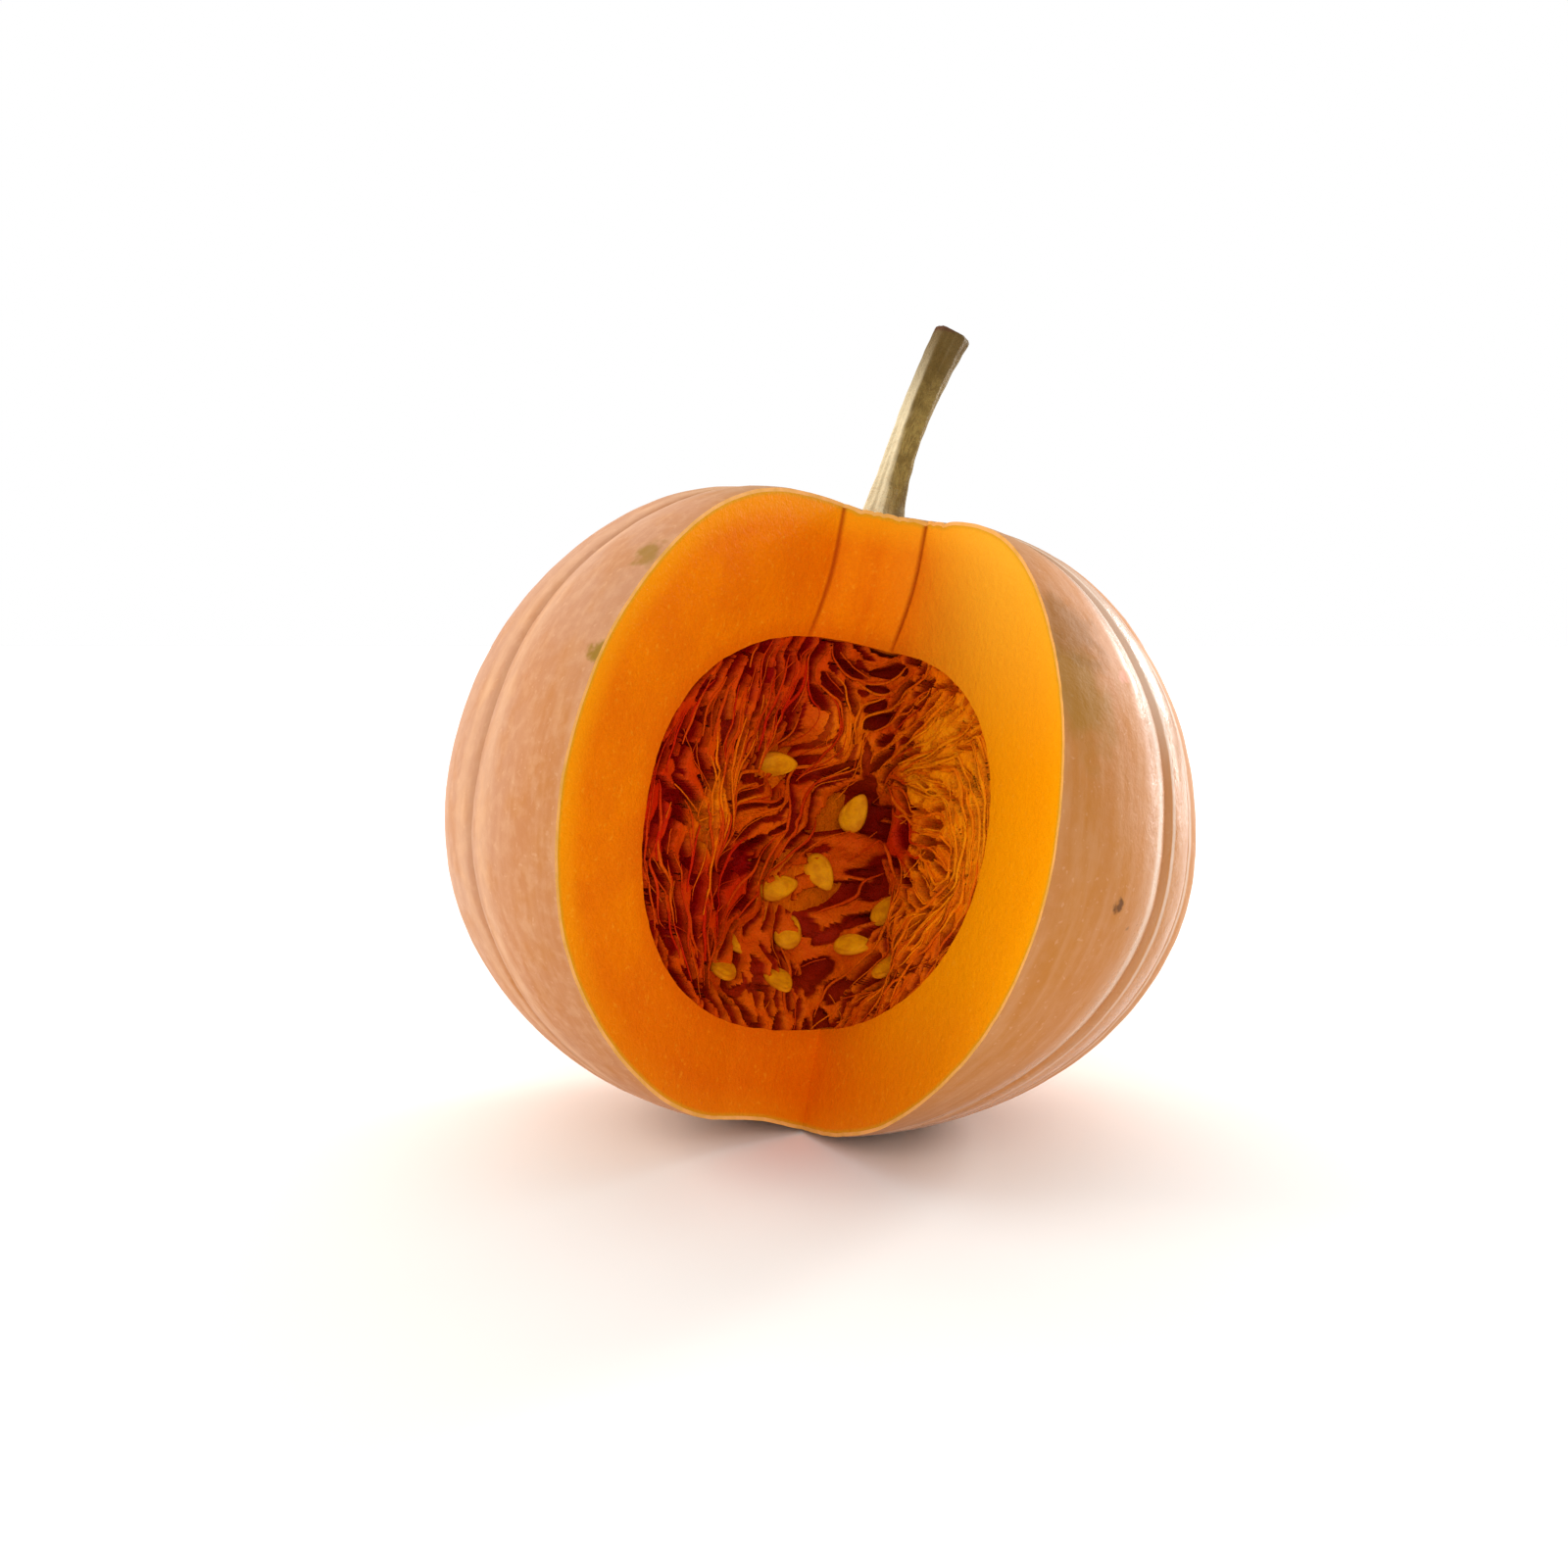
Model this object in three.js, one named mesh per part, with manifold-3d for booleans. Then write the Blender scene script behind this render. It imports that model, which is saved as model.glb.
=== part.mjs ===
// A ripe pumpkin with one wedge cut out of its front, resting on its underside.
// Millimetres, +Z up. The origin is on the surface it rests on, inside its small flat spot.

import * as THREE from 'three';
import { mergeVertices } from 'three/addons/utils/BufferGeometryUtils.js';
import Module from 'manifold-3d';

const wasm = await Module();
wasm.setup();

const { abs, acos, atan2, cos, exp, floor, max, min, pow, round, sign, sin, PI } = Math;
const { clamp, degToRad, euclideanModulo, lerp, radToDeg } = THREE.MathUtils;

// Driving dimensions: millimetres and degrees. Azimuths turn about the fruit's own axis from +X
// towards +Y, so that 270 is the front. Polar angles run from 0 at the stem to 180 underneath.

const FRUIT = {
  radius: 135,            // at the crests of the ribs
  upperHeight: 129.5,     // above the widest level, before the stem dimple is pressed in
  lowerHeight: 112.5,
  roundness: 2.02,        // exponent of the profile, 2 being an ellipse
  sag: 0.09,              // to the left, of the part below the widest level
  sagEase: 40,
  leanBack: 13,
  leanRight: 10.2,
  rows: 34,
};
const STEM_DIMPLE = { depth: 15.7, width: 57 };
const BLOSSOM_DIMPLE = { depth: 4.5, width: 20 };

// Azimuth of each groove: wide ribs, with two narrow ones on the right.
const GROOVES = [10, 33, 57, 82, 108, 131, 157, 184, 205, 236, 268, 300, 334, 344, 355];
const GROOVE = {
  leastDepth: 1.2,
  depthPerDegree: 0.085,  // a wider rib stands further out of the grooves beside it
  crestRoundness: 0.55,
  fadeAbove: 0.6,         // how the grooves fade towards the stem
  fadeBelow: 1.5,         // and towards the blossom end
  degreesPerColumn: 4.8,
  leastColumns: 3,
};

const FLAT_SPOT_HEIGHT = 2.8;   // of the skin pressed flat under the weight

// The missing wedge: two long cuts, and a short one across its tip in front of the stem. The
// short cut is twisted: both its edges slide along the long cuts between two levels.
const WEDGE = {
  leftCorner: [-18, -17.3],
  rightCorner: [16.2, 3.6],
  leftAzimuth: 230.5,
  rightAzimuth: 298.5,
  reach: 220,
  height: 310,
  twistFrom: 60,
  twistTo: 100,
  leftSlide: [-2, -10.5],
  rightSlide: [-5.8, 5.9],
  levels: 30,
};

const CAVITY = {
  radius: 90.4,
  upperHeight: 65,
  lowerHeight: 76.5,
  roundness: 2.23,
  centre: 1.3,
  floorRise: 0.0022,      // towards floorAzimuth, of the part below the widest level
  floorAzimuth: 340,
  columns: 32,
  rows: 16,
};

const CLEARANCE = 0.4;   // between touching pieces

// The fibrous pulp fills the back of the cavity, round a hollow that opens on the wedge.
// Angles in the hollow are measured about its own middle.
const PULP = {
  middle: [-3, -30, -2],
  sideReach: 75,
  depthReach: 58,
  ceiling: 62,
  floor: 66,
  planShape: 1.5,         // exponent of the hollow's plan, 2 being an ellipse
  sideShape: 2.3,
  lining: 4,              // least thickness on the cavity wall
  furrowDepth: 0.03,      // as a part of the hollow's reach
  furrows: 11,
  furrowSway: 2,
  setBack: 0.8,           // behind the cut flesh
  columns: 32,
  rows: 18,
};
const BULGE = { azimuth: 121, polar: 88, height: 0.26, spread: 26 };

// The cord of pulp that hangs in front of the rest, from the ceiling to the back wall.
const CORE = {
  route: [[5, 2, 66], [4, 7, 38], [2, 14, 14], [-2, 30, -14]],
  waist: 6,
  waistAt: 0.4,           // part of the way down
  flare: 30,
  sides: 9,
  steps: 7,
};

const STRAND = {
  seed: 20411,
  stops: [0, 0.25, 0.5, 0.75, 1],
  sides: 4,
  steps: 4,
  rooted: 0.06,           // part of the hollow's reach by which each end is sunk in
};

// Strands bridge the hollow: azimuth of the middle, half of the slant, polar angle of each end,
// how far the middle stands off the wall as a part of the hollow's reach, and thickness.
const STRAND_GROUPS = [
  { count: 21, azimuth: [112, 205], slant: [-8, 8], top: [18, 50], bottom: [112, 158],
    standOff: [0.06, 0.34], thickness: [1.6, 3.2] },
  { count: 7, azimuth: [70, 112], slant: [-14, 14], top: [20, 45], bottom: [112, 155],
    standOff: [0.06, 0.3], thickness: [2, 3.2] },
  { count: 18, azimuth: [-25, 65], slant: [-26, 8], top: [25, 95], bottom: [75, 150],
    standOff: [0.05, 0.26], thickness: [1.6, 3] },
];

const STEM = {
  length: 71.5,
  baseWidth: 13.2,
  waistWidth: 10.9,
  tipWidth: 13.2,
  flareWidth: 5,          // added at the foot
  flareHeight: 6,
  corners: 5,
  cornerHeight: 0.08,     // as a part of the radius
  startLean: 3,
  bend: 15,
  sunk: 4,
  centre: [2.9, 6.5],
  stops: [0, 0.2, 0.4, 0.6, 0.8, 1],
  columns: 20,
  rows: 12,
};

const SEED = { length: 15.5, width: 9.6, thickness: 2.8, taper: 0.3, columns: 10, rows: 8 };

// Azimuth and polar angle on the wall of the hollow, and turn of the seed against the wall.
const SEED_PLACES = [
  [111, 69, 8], [74, 84, 70], [99, 110, 25], [83, 101, -50], [52, 108, 60], [113, 132, -20],
  [91, 124, 85], [60, 124, 10], [92, 148, -65], [132, 148, 40], [36, 130, 80],
];

// ---- helpers ----

function seededRandom(seed) {
  let state = seed;
  return () => {
    state = (state + 0x6d2b79f5) | 0;
    let mixed = Math.imul(state ^ (state >>> 15), 1 | state);
    mixed = (mixed + Math.imul(mixed ^ (mixed >>> 7), 61 | mixed)) ^ mixed;
    return ((mixed ^ (mixed >>> 14)) >>> 0) / 4294967296;
  };
}

const TINY = 1e-3;
const WELD = 1e-5;
const ORIGIN = new THREE.Vector2();
const heading = (azimuth) => new THREE.Vector2(1, 0).rotateAround(ORIGIN, degToRad(azimuth));
const evenSteps = (count, span) => Array.from({ length: count }, (_, i) => (span * i) / count);
const aroundAxis = (azimuth, r, z) => new THREE.Vector3(r * cos(azimuth), r * sin(azimuth), z);
const signedPower = (value, exponent) => sign(value) * pow(abs(value), exponent);

function toSolid(geometry) {
  const bare = geometry.clone();
  bare.deleteAttribute('normal');
  bare.deleteAttribute('uv');
  const merged = mergeVertices(bare, WELD);
  return new wasm.Manifold(new wasm.Mesh({
    numProp: 3,
    vertProperties: new Float32Array(merged.attributes.position.array),
    triVerts: new Uint32Array(merged.index.array),
  }));
}

function toGeometry(solid) {
  const { vertProperties, triVerts } = solid.getMesh();
  const geometry = new THREE.BufferGeometry();
  geometry.setAttribute('position', new THREE.BufferAttribute(vertProperties, 3));
  geometry.setIndex(new THREE.BufferAttribute(triVerts, 1));
  geometry.computeVertexNormals();
  return geometry;
}

// A closed round body: pointAt gives each vertex from its azimuth and polar angle in radians.
function roundBody(azimuths, rows, pointAt) {
  const columns = azimuths.length;
  const sphere = new THREE.SphereGeometry(1, columns, rows);
  const positions = sphere.attributes.position;
  for (let i = 0; i < positions.count; i += 1) {
    const azimuth = azimuths[i % (columns + 1) % columns];
    const polar = (PI * floor(i / (columns + 1))) / rows;
    positions.setXYZ(i, ...pointAt(azimuth, polar).toArray());
  }
  return sphere;
}

// A closed tube along a curve. Its sides start from the facing direction, and radiusAt gives its
// radius from the part of the way along it and the angle round it.
function sweptBody(curve, facing, sides, steps, radiusAt) {
  const tube = new THREE.CylinderGeometry(1, 1, 1, sides, steps);
  const positions = tube.attributes.position;
  for (let i = 0; i < positions.count; i += 1) {
    const t = clamp(positions.getY(i) + 0.5, 0, 1);
    const radius = radiusAt(t, atan2(positions.getX(i), positions.getZ(i)));
    const tangent = curve.getTangent(t);
    const across = facing.clone().cross(tangent).normalize();
    const outward = across.clone().cross(tangent);
    const point = curve.getPoint(t)
      .addScaledVector(across, radius * positions.getX(i))
      .addScaledVector(outward, radius * positions.getZ(i));
    positions.setXYZ(i, ...point.toArray());
  }
  return tube;
}

// A rounded profile: distance from the axis, and height above the widest level.
function profile(polar, { radius, upperHeight, lowerHeight, roundness }) {
  const height = cos(polar) > 0 ? upperHeight : lowerHeight;
  return {
    r: radius * pow(abs(sin(polar)), 2 / roundness),
    z: height * signedPower(cos(polar), 2 / roundness),
  };
}

// ---- fruit ----

const ribs = GROOVES.map((start, i) => {
  const width = (GROOVES[i + 1] ?? GROOVES[0] + 360) - start;
  return { start, width, depth: GROOVE.leastDepth + GROOVE.depthPerDegree * width };
});

// Each rib is split evenly, so that every groove lies on a column of vertices.
const ribAzimuths = ribs.flatMap(({ start, width }) => (
  evenSteps(max(GROOVE.leastColumns, round(width / GROOVE.degreesPerColumn)), width)
    .map((offset) => degToRad(start + offset))
));

function grooveDepth(azimuth) {
  const turned = euclideanModulo(radToDeg(azimuth) - GROOVES[0] + TINY, 360) + GROOVES[0];
  const { start, width, depth } = ribs.findLast((rib) => rib.start <= turned);
  return depth * (1 - pow(abs(sin((PI * (turned - start)) / width)), GROOVE.crestRoundness));
}

function fruitPoint(azimuth, polar) {
  const { r, z } = profile(polar, FRUIT);
  const dimple = z > 0 ? STEM_DIMPLE : BLOSSOM_DIMPLE;
  const pressed = z - sign(z) * dimple.depth * exp(-((r / dimple.width) ** 2));
  const fade = pow(abs(sin(polar)), z > 0 ? GROOVE.fadeAbove : GROOVE.fadeBelow);
  const scale = 1 - (grooveDepth(azimuth) * fade) / FRUIT.radius;
  const sag = z < 0 ? (FRUIT.sag * z * z) / (FRUIT.sagEase - z) : 0;
  return aroundAxis(azimuth, r * scale, pressed * scale).add(new THREE.Vector3(-sag, 0, 0));
}

function cavityBody(inset) {
  const size = {
    radius: CAVITY.radius - inset,
    upperHeight: CAVITY.upperHeight - inset,
    lowerHeight: CAVITY.lowerHeight - inset,
    roundness: CAVITY.roundness,
  };
  return roundBody(evenSteps(CAVITY.columns, 2 * PI), CAVITY.rows, (azimuth, polar) => {
    const { r, z } = profile(polar, size);
    const rise = CAVITY.floorRise * r * cos(azimuth - degToRad(CAVITY.floorAzimuth));
    return aroundAxis(azimuth, r, z * (z < 0 ? 1 - rise : 1) + CAVITY.centre);
  });
}

// The wedge as a solid; margin moves its cuts outwards, into the fruit.
function wedgeBody(margin) {
  const { leftAzimuth, rightAzimuth, reach, height, levels, twistFrom, twistTo } = WEDGE;
  const left = new THREE.Vector2(...WEDGE.leftCorner);
  const right = new THREE.Vector2(...WEDGE.rightCorner);
  const tipNormal = right.clone().sub(left).normalize().rotateAround(ORIGIN, PI / 2);
  const push = (corner, sideNormal) => corner.addScaledVector(
    sideNormal.clone().add(tipNormal),
    margin / (1 + sideNormal.dot(tipNormal)),
  );
  push(left, heading(leftAzimuth - 90));
  push(right, heading(rightAzimuth + 90));
  const outline = new THREE.Shape([
    left,
    left.clone().addScaledVector(heading(leftAzimuth), reach),
    right.clone().addScaledVector(heading(rightAzimuth), reach),
    right,
  ]);
  const prism = new THREE.ExtrudeGeometry(outline, { depth: height, steps: levels, bevelEnabled: false })
    .translate(0, 0, -height / 2);
  const positions = prism.attributes.position;
  for (let i = 0; i < positions.count; i += 1) {
    const corner = new THREE.Vector2(positions.getX(i), positions.getY(i));
    const rise = clamp((positions.getZ(i) - twistFrom) / (twistTo - twistFrom), 0, 1);
    const eased = sin((PI / 2) * rise);
    if (corner.distanceTo(left) < TINY) {
      corner.addScaledVector(heading(leftAzimuth), lerp(...WEDGE.leftSlide, eased));
    } else if (corner.distanceTo(right) < TINY) {
      corner.addScaledVector(heading(rightAzimuth), lerp(...WEDGE.rightSlide, eased));
    }
    positions.setXY(i, corner.x, corner.y);
  }
  return prism;
}

// ---- pulp ----

const hollowMiddle = new THREE.Vector3(...PULP.middle);
const bulgeHeading = aroundAxis(
  degToRad(BULGE.azimuth),
  sin(degToRad(BULGE.polar)),
  cos(degToRad(BULGE.polar)),
);

function hollowReach(azimuth, polar) {
  const plan = pow(
    pow(abs(cos(azimuth)) / PULP.sideReach, PULP.planShape)
      + pow(abs(sin(azimuth)) / PULP.depthReach, PULP.planShape),
    -1 / PULP.planShape,
  );
  const towards = bulgeHeading.dot(aroundAxis(azimuth, sin(polar), cos(polar)));
  const away = acos(clamp(towards, -1, 1)) / degToRad(BULGE.spread);
  const wave = sin(PULP.furrows * azimuth + PULP.furrowSway * sin(2 * polar)) * sin(polar);
  return { plan, scale: 1 + PULP.furrowDepth * wave - BULGE.height * exp(-away * away) };
}

function hollowPoint(azimuth, polar) {
  const { plan, scale } = hollowReach(azimuth, polar);
  const { r, z } = profile(polar, {
    radius: plan,
    upperHeight: PULP.ceiling,
    lowerHeight: PULP.floor,
    roundness: PULP.sideShape,
  });
  return aroundAxis(azimuth, r, z).multiplyScalar(scale).add(hollowMiddle);
}

function coreBody() {
  const route = CORE.route.map((point) => new THREE.Vector3(...point));
  return sweptBody(
    new THREE.CatmullRomCurve3(route),
    new THREE.Vector3(1, 0, 0),
    CORE.sides,
    CORE.steps,
    (t) => CORE.waist + CORE.flare * (t - CORE.waistAt) ** 2,
  );
}

function strandBody({ azimuth, slant, top, bottom, standOff, thickness }) {
  const spokes = STRAND.stops.map((t) => {
    const turn = degToRad(azimuth + slant * (2 * t - 1));
    const fromWall = STRAND.rooted - (STRAND.rooted + standOff) * sin(PI * t);
    return hollowPoint(turn, degToRad(lerp(top, bottom, t)))
      .sub(hollowMiddle)
      .multiplyScalar(1 + fromWall);
  });
  return sweptBody(
    new THREE.CatmullRomCurve3(spokes.map((spoke) => spoke.clone().add(hollowMiddle))),
    spokes[floor(spokes.length / 2)],
    STRAND.sides,
    STRAND.steps,
    () => thickness / 2,
  );
}

function strandSolids() {
  const random = seededRandom(STRAND.seed);
  const draw = ([low, high]) => lerp(low, high, random());
  return STRAND_GROUPS.flatMap(({ count, ...ranges }) => evenSteps(count, 1).map(() => {
    const drawn = Object.fromEntries(
      Object.entries(ranges).map(([name, range]) => [name, draw(range)]),
    );
    return toSolid(strandBody(drawn));
  }));
}

// ---- seeds ----

function seedBody(grow) {
  const { length, width, thickness, taper, columns, rows } = SEED;
  return roundBody(evenSteps(columns, 2 * PI), rows, (azimuth, polar) => {
    const along = cos(polar);
    const across = sin(polar) * (1 - taper * along);
    return new THREE.Vector3(
      (length / 2 + grow) * along,
      (width / 2 + grow) * across * cos(azimuth),
      (thickness / 2 + grow) * across * sin(azimuth),
    );
  });
}

// A seed lies against the wall of the hollow, with its face towards the middle.
function seedMatrix([azimuth, polar, turn]) {
  const wall = hollowPoint(degToRad(azimuth), degToRad(polar));
  const facing = hollowMiddle.clone().sub(wall).normalize();
  const level = new THREE.Vector3(0, 0, 1).cross(facing).normalize();
  return new THREE.Matrix4()
    .makeBasis(level, facing.clone().cross(level), facing)
    .multiply(new THREE.Matrix4().makeRotationZ(degToRad(turn)))
    .setPosition(wall);
}

// ---- stem ----

function stemBody(grow) {
  const { baseWidth, waistWidth, tipWidth, centre, sunk } = STEM;
  const whole = STEM.length + sunk;
  const foot = fruitPoint(0, 0).z - sunk;
  const route = STEM.stops.map((t) => {
    const chordLean = degToRad(STEM.startLean + (STEM.bend * t) / 2);
    const chord = t * whole;
    return new THREE.Vector3(centre[0] + chord * sin(chordLean), centre[1], foot + chord * cos(chordLean));
  });
  route[0].z -= grow;
  const halfWidth = (t) => (
    waistWidth + (baseWidth - waistWidth) * (1 - 2 * min(t, 0.5)) ** 2
      + (tipWidth - waistWidth) * (2 * max(t, 0.5) - 1) ** 2
      + STEM.flareWidth * exp((-t * whole) / STEM.flareHeight)
  ) / 2;
  return sweptBody(
    new THREE.CatmullRomCurve3(route),
    new THREE.Vector3(0, 1, 0),
    STEM.columns,
    STEM.rows,
    (t, turn) => halfWidth(t) * (1 + STEM.cornerHeight * cos(STEM.corners * turn)) + grow,
  );
}

// ---- how it rests ----

const attitude = new THREE.Quaternion().setFromEuler(
  new THREE.Euler(-degToRad(FRUIT.leanBack), degToRad(FRUIT.leanRight), 0),
);
const skin = roundBody(ribAzimuths, FRUIT.rows, fruitPoint);

function lowestPoint(geometry) {
  const point = new THREE.Vector3();
  const lowest = new THREE.Vector3(0, 0, Infinity);
  const positions = geometry.attributes.position;
  for (let i = 0; i < positions.count; i += 1) {
    point.fromBufferAttribute(positions, i).applyQuaternion(attitude);
    if (point.z < lowest.z) lowest.copy(point);
  }
  return lowest;
}

const lowest = lowestPoint(skin);
const place = new THREE.Matrix4().compose(
  new THREE.Vector3(-lowest.x, -lowest.y, -lowest.z - FLAT_SPOT_HEIGHT),
  attitude,
  new THREE.Vector3(1, 1, 1),
);
const ground = new THREE.BoxGeometry(4 * FRUIT.radius, 4 * FRUIT.radius, FRUIT.radius)
  .translate(0, 0, -FRUIT.radius / 2)
  .applyMatrix4(place.clone().invert());

// ---- assembly ----

const fruitSolid = toSolid(skin)
  .subtract(toSolid(ground))
  .subtract(toSolid(wedgeBody(0)))
  .subtract(toSolid(cavityBody(0)))
  .subtract(toSolid(stemBody(CLEARANCE)));

const hollow = toSolid(roundBody(evenSteps(PULP.columns, 2 * PI), PULP.rows, hollowPoint))
  .intersect(toSolid(cavityBody(CLEARANCE + PULP.lining)));
const fibres = strandSolids().reduce(
  (joined, strand) => joined.add(strand),
  toSolid(cavityBody(CLEARANCE)).subtract(hollow).add(toSolid(coreBody())),
);
const seedPockets = SEED_PLACES.map((seed) => (
  toSolid(seedBody(CLEARANCE).applyMatrix4(seedMatrix(seed)))
));
const pulpSolid = seedPockets
  .reduce((cut, pocket) => cut.subtract(pocket), fibres)
  .intersect(toSolid(cavityBody(CLEARANCE)))
  .subtract(toSolid(wedgeBody(PULP.setBack)));

// The one body that holds together: loose ends and sealed gaps are left out.
function wholeBody(solid) {
  return solid.decompose().reduce((a, b) => (a.volume() > b.volume() ? a : b));
}

const surface = (color, roughness) => new THREE.MeshStandardMaterial({ color, roughness, metalness: 0 });
const materials = {
  rind: surface(0xd9a679, 0.5),
  pulp: surface(0xc2560a, 0.45),
  stem: surface(0x8d7a3c, 0.8),
  seed: surface(0xc8a046, 0.45),
};

function piece(name, geometry, material) {
  const mesh = new THREE.Mesh(geometry, material);
  mesh.name = name;
  return mesh;
}

const pumpkin = new THREE.Group();
pumpkin.add(
  piece('fruit', toGeometry(wholeBody(fruitSolid)), materials.rind),
  piece('pulp', toGeometry(wholeBody(pulpSolid)), materials.pulp),
  piece('stem', stemBody(0), materials.stem),
);
SEED_PLACES.forEach((seed, i) => {
  const mesh = piece(`seed_${String(i + 1).padStart(2, '0')}`, seedBody(0), materials.seed);
  mesh.applyMatrix4(seedMatrix(seed));
  pumpkin.add(mesh);
});
pumpkin.applyMatrix4(place);

export default pumpkin;
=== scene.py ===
import random
from math import acos, atan2, copysign, cos, degrees, exp, hypot, pi, radians, sin

import bmesh
import bpy
from mathutils import Matrix, Vector, noise
from mathutils.bvhtree import BVHTree


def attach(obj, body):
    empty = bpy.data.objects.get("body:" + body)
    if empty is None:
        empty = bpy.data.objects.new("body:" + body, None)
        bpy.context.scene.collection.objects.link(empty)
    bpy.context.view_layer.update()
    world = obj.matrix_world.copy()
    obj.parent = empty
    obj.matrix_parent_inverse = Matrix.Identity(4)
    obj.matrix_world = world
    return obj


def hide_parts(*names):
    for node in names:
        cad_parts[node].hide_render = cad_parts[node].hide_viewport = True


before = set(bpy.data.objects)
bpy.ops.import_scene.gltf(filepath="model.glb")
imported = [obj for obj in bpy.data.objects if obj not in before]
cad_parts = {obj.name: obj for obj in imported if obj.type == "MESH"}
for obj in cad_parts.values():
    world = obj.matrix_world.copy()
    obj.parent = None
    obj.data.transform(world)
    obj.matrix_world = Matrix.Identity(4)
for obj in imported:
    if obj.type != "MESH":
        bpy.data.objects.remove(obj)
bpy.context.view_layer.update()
print("stage: frame loaded")

# Shapes are worked out in the fruit's own frame: millimetres and degrees, +Z towards the stem,
# azimuths from +X towards +Y, so that 270 is the front. toWorld then sets them upright.
attitude = {"centre": (-7.494, -11.036, 110.572), "leanBack": 13, "leanRight": 10.2}
fruitForm = {
    "radius": 135, "upperHeight": 129.5, "lowerHeight": 112.5, "roundness": 2.02, "skin": 1.3,
    "stemDimple": (15.7, 57), "blossomDimple": (4.5, 20),   # depth and spread
    "sag": 0.09, "sagEase": 40,
    "grooves": (10, 33, 57, 82, 108, 131, 157, 184, 205, 236, 268, 300, 334, 344, 355),
    "leastDepth": 1.2, "depthPerDegree": 0.085, "crestRoundness": 0.55, "valleySoftness": 0.0012,
    "fadeAbove": 0.6, "fadeBelow": 1.5, "grooveColour": 60,   # the radius of full colour
    "columns": 264, "rows": 132, "crowding": 0.1,   # columns crowd together towards the grooves
    "lumps": 0.9, "lumpSize": 46, "pimples": 0.16, "pimpleSize": 7,
    # creases round the stem: height, reach, radii where they grow, count, units in a turn, drift outwards
    "creases": 0.9, "creaseReach": 46, "creaseGrow": (4, 16), "creaseCount": 34, "creaseTurn": 6,
    "creaseDrift": 0.004, "sharpAngle": 40,
}
cavityForm = {
    "radius": 90.4, "upperHeight": 65, "lowerHeight": 76.5, "roundness": 2.23, "centre": 1.3,
    "floorRise": 0.0022, "floorAzimuth": 340, "columns": 144, "rows": 72, "roughness": 0.5, "roughSize": 5,
}
wedgeForm = {
    "corners": ((-18, -17.3), (16.2, 3.6)), "azimuths": (230.5, 298.5),   # the left cut, then the right one
    "slides": ((-2, -10.5), (-5.8, 5.9)), "twist": (60, 100),   # how the corners slide between two heights
    "reach": 200, "height": 300, "ahead": 30, "alongSteps": 60, "tipSteps": 12, "levels": 96,
    "knifeWaver": 0.35, "waverSize": 34, "knifeMarks": 0.12, "markLength": 60, "markHeight": 3.2,
}

turn = Matrix.Rotation(radians(-attitude["leanBack"]), 4, "X") @ Matrix.Rotation(
    radians(attitude["leanRight"]), 4, "Y")
toWorld = Matrix.Scale(0.001, 4) @ Matrix.Translation(attitude["centre"]) @ turn
toFruit = toWorld.inverted()


def heading(azimuth):
    return Vector((cos(radians(azimuth)), sin(radians(azimuth))))


def polarPoint(r, azimuth, z):
    return Vector((r * cos(azimuth), r * sin(azimuth), z))


def mix(a, b, t):
    return a + (b - a) * t


def clamp(value, low=0.0, high=1.0):
    return max(low, min(high, value))


def ease(low, high, value):
    t = clamp((value - low) / (high - low))
    return t * t * (3 - 2 * t)


def profile(polar, form, inset=0):
    height = form["upperHeight"] if cos(polar) > 0 else form["lowerHeight"]
    power = 2 / form["roundness"]
    r = (form["radius"] - inset) * abs(sin(polar)) ** power
    return r, (height - inset) * copysign(abs(cos(polar)) ** power, cos(polar))


def linear(colour):
    # an everyday 0-255 colour as the linear colour that a shader takes
    return tuple(((c / 255 + 0.055) / 1.055) ** 2.4 if c > 10 else c / 3295 for c in colour) + (1,)


def newObject(name, data):
    made = bpy.data.objects.new(name, data)
    bpy.context.scene.collection.objects.link(made)
    return made


def newPiece(name, bm, material):
    mesh = bpy.data.meshes.new(name)
    bm.to_mesh(mesh)
    bm.free()
    mesh.materials.append(material)
    return newObject(name, mesh)


def verticesOf(geometry):
    return [part for part in geometry if isinstance(part, bmesh.types.BMVert)]


def carve(piece, cutter, operation="DIFFERENCE"):
    # the modifier's result becomes the piece's own mesh
    boolean = piece.modifiers.new("carve", "BOOLEAN")
    boolean.operation, boolean.object = operation, cutter
    boolean.solver, boolean.material_mode = "MANIFOLD", "TRANSFER"
    graph = bpy.context.evaluated_depsgraph_get()
    finished = piece.evaluated_get(graph)
    mesh = bpy.data.meshes.new_from_object(finished, preserve_all_data_layers=True, depsgraph=graph)
    piece.modifiers.clear()
    old, piece.data = piece.data, mesh
    bpy.data.meshes.remove(old)


def discard(*pieces):
    for piece in pieces:
        bpy.data.objects.remove(piece)


def stand(piece, node, sharpAngle=None):
    piece.data.shade_smooth()
    if sharpAngle:
        piece.data.set_sharp_from_angle(angle=radians(sharpAngle))
    piece.data.transform(toWorld)
    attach(piece, "root")
    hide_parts(node)


def setValues(mesh, name, values):
    mesh.attributes.new(name, "FLOAT", "POINT").data.foreach_set("value", values)


def nearness(tree, piece):
    return [tree.find_nearest(v.co)[3] for v in piece.data.vertices]


def treeOf(piece):
    bm = bmesh.new()
    bm.from_mesh(piece.data)
    tree = BVHTree.FromBMesh(bm)
    bm.free()
    return tree


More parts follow.
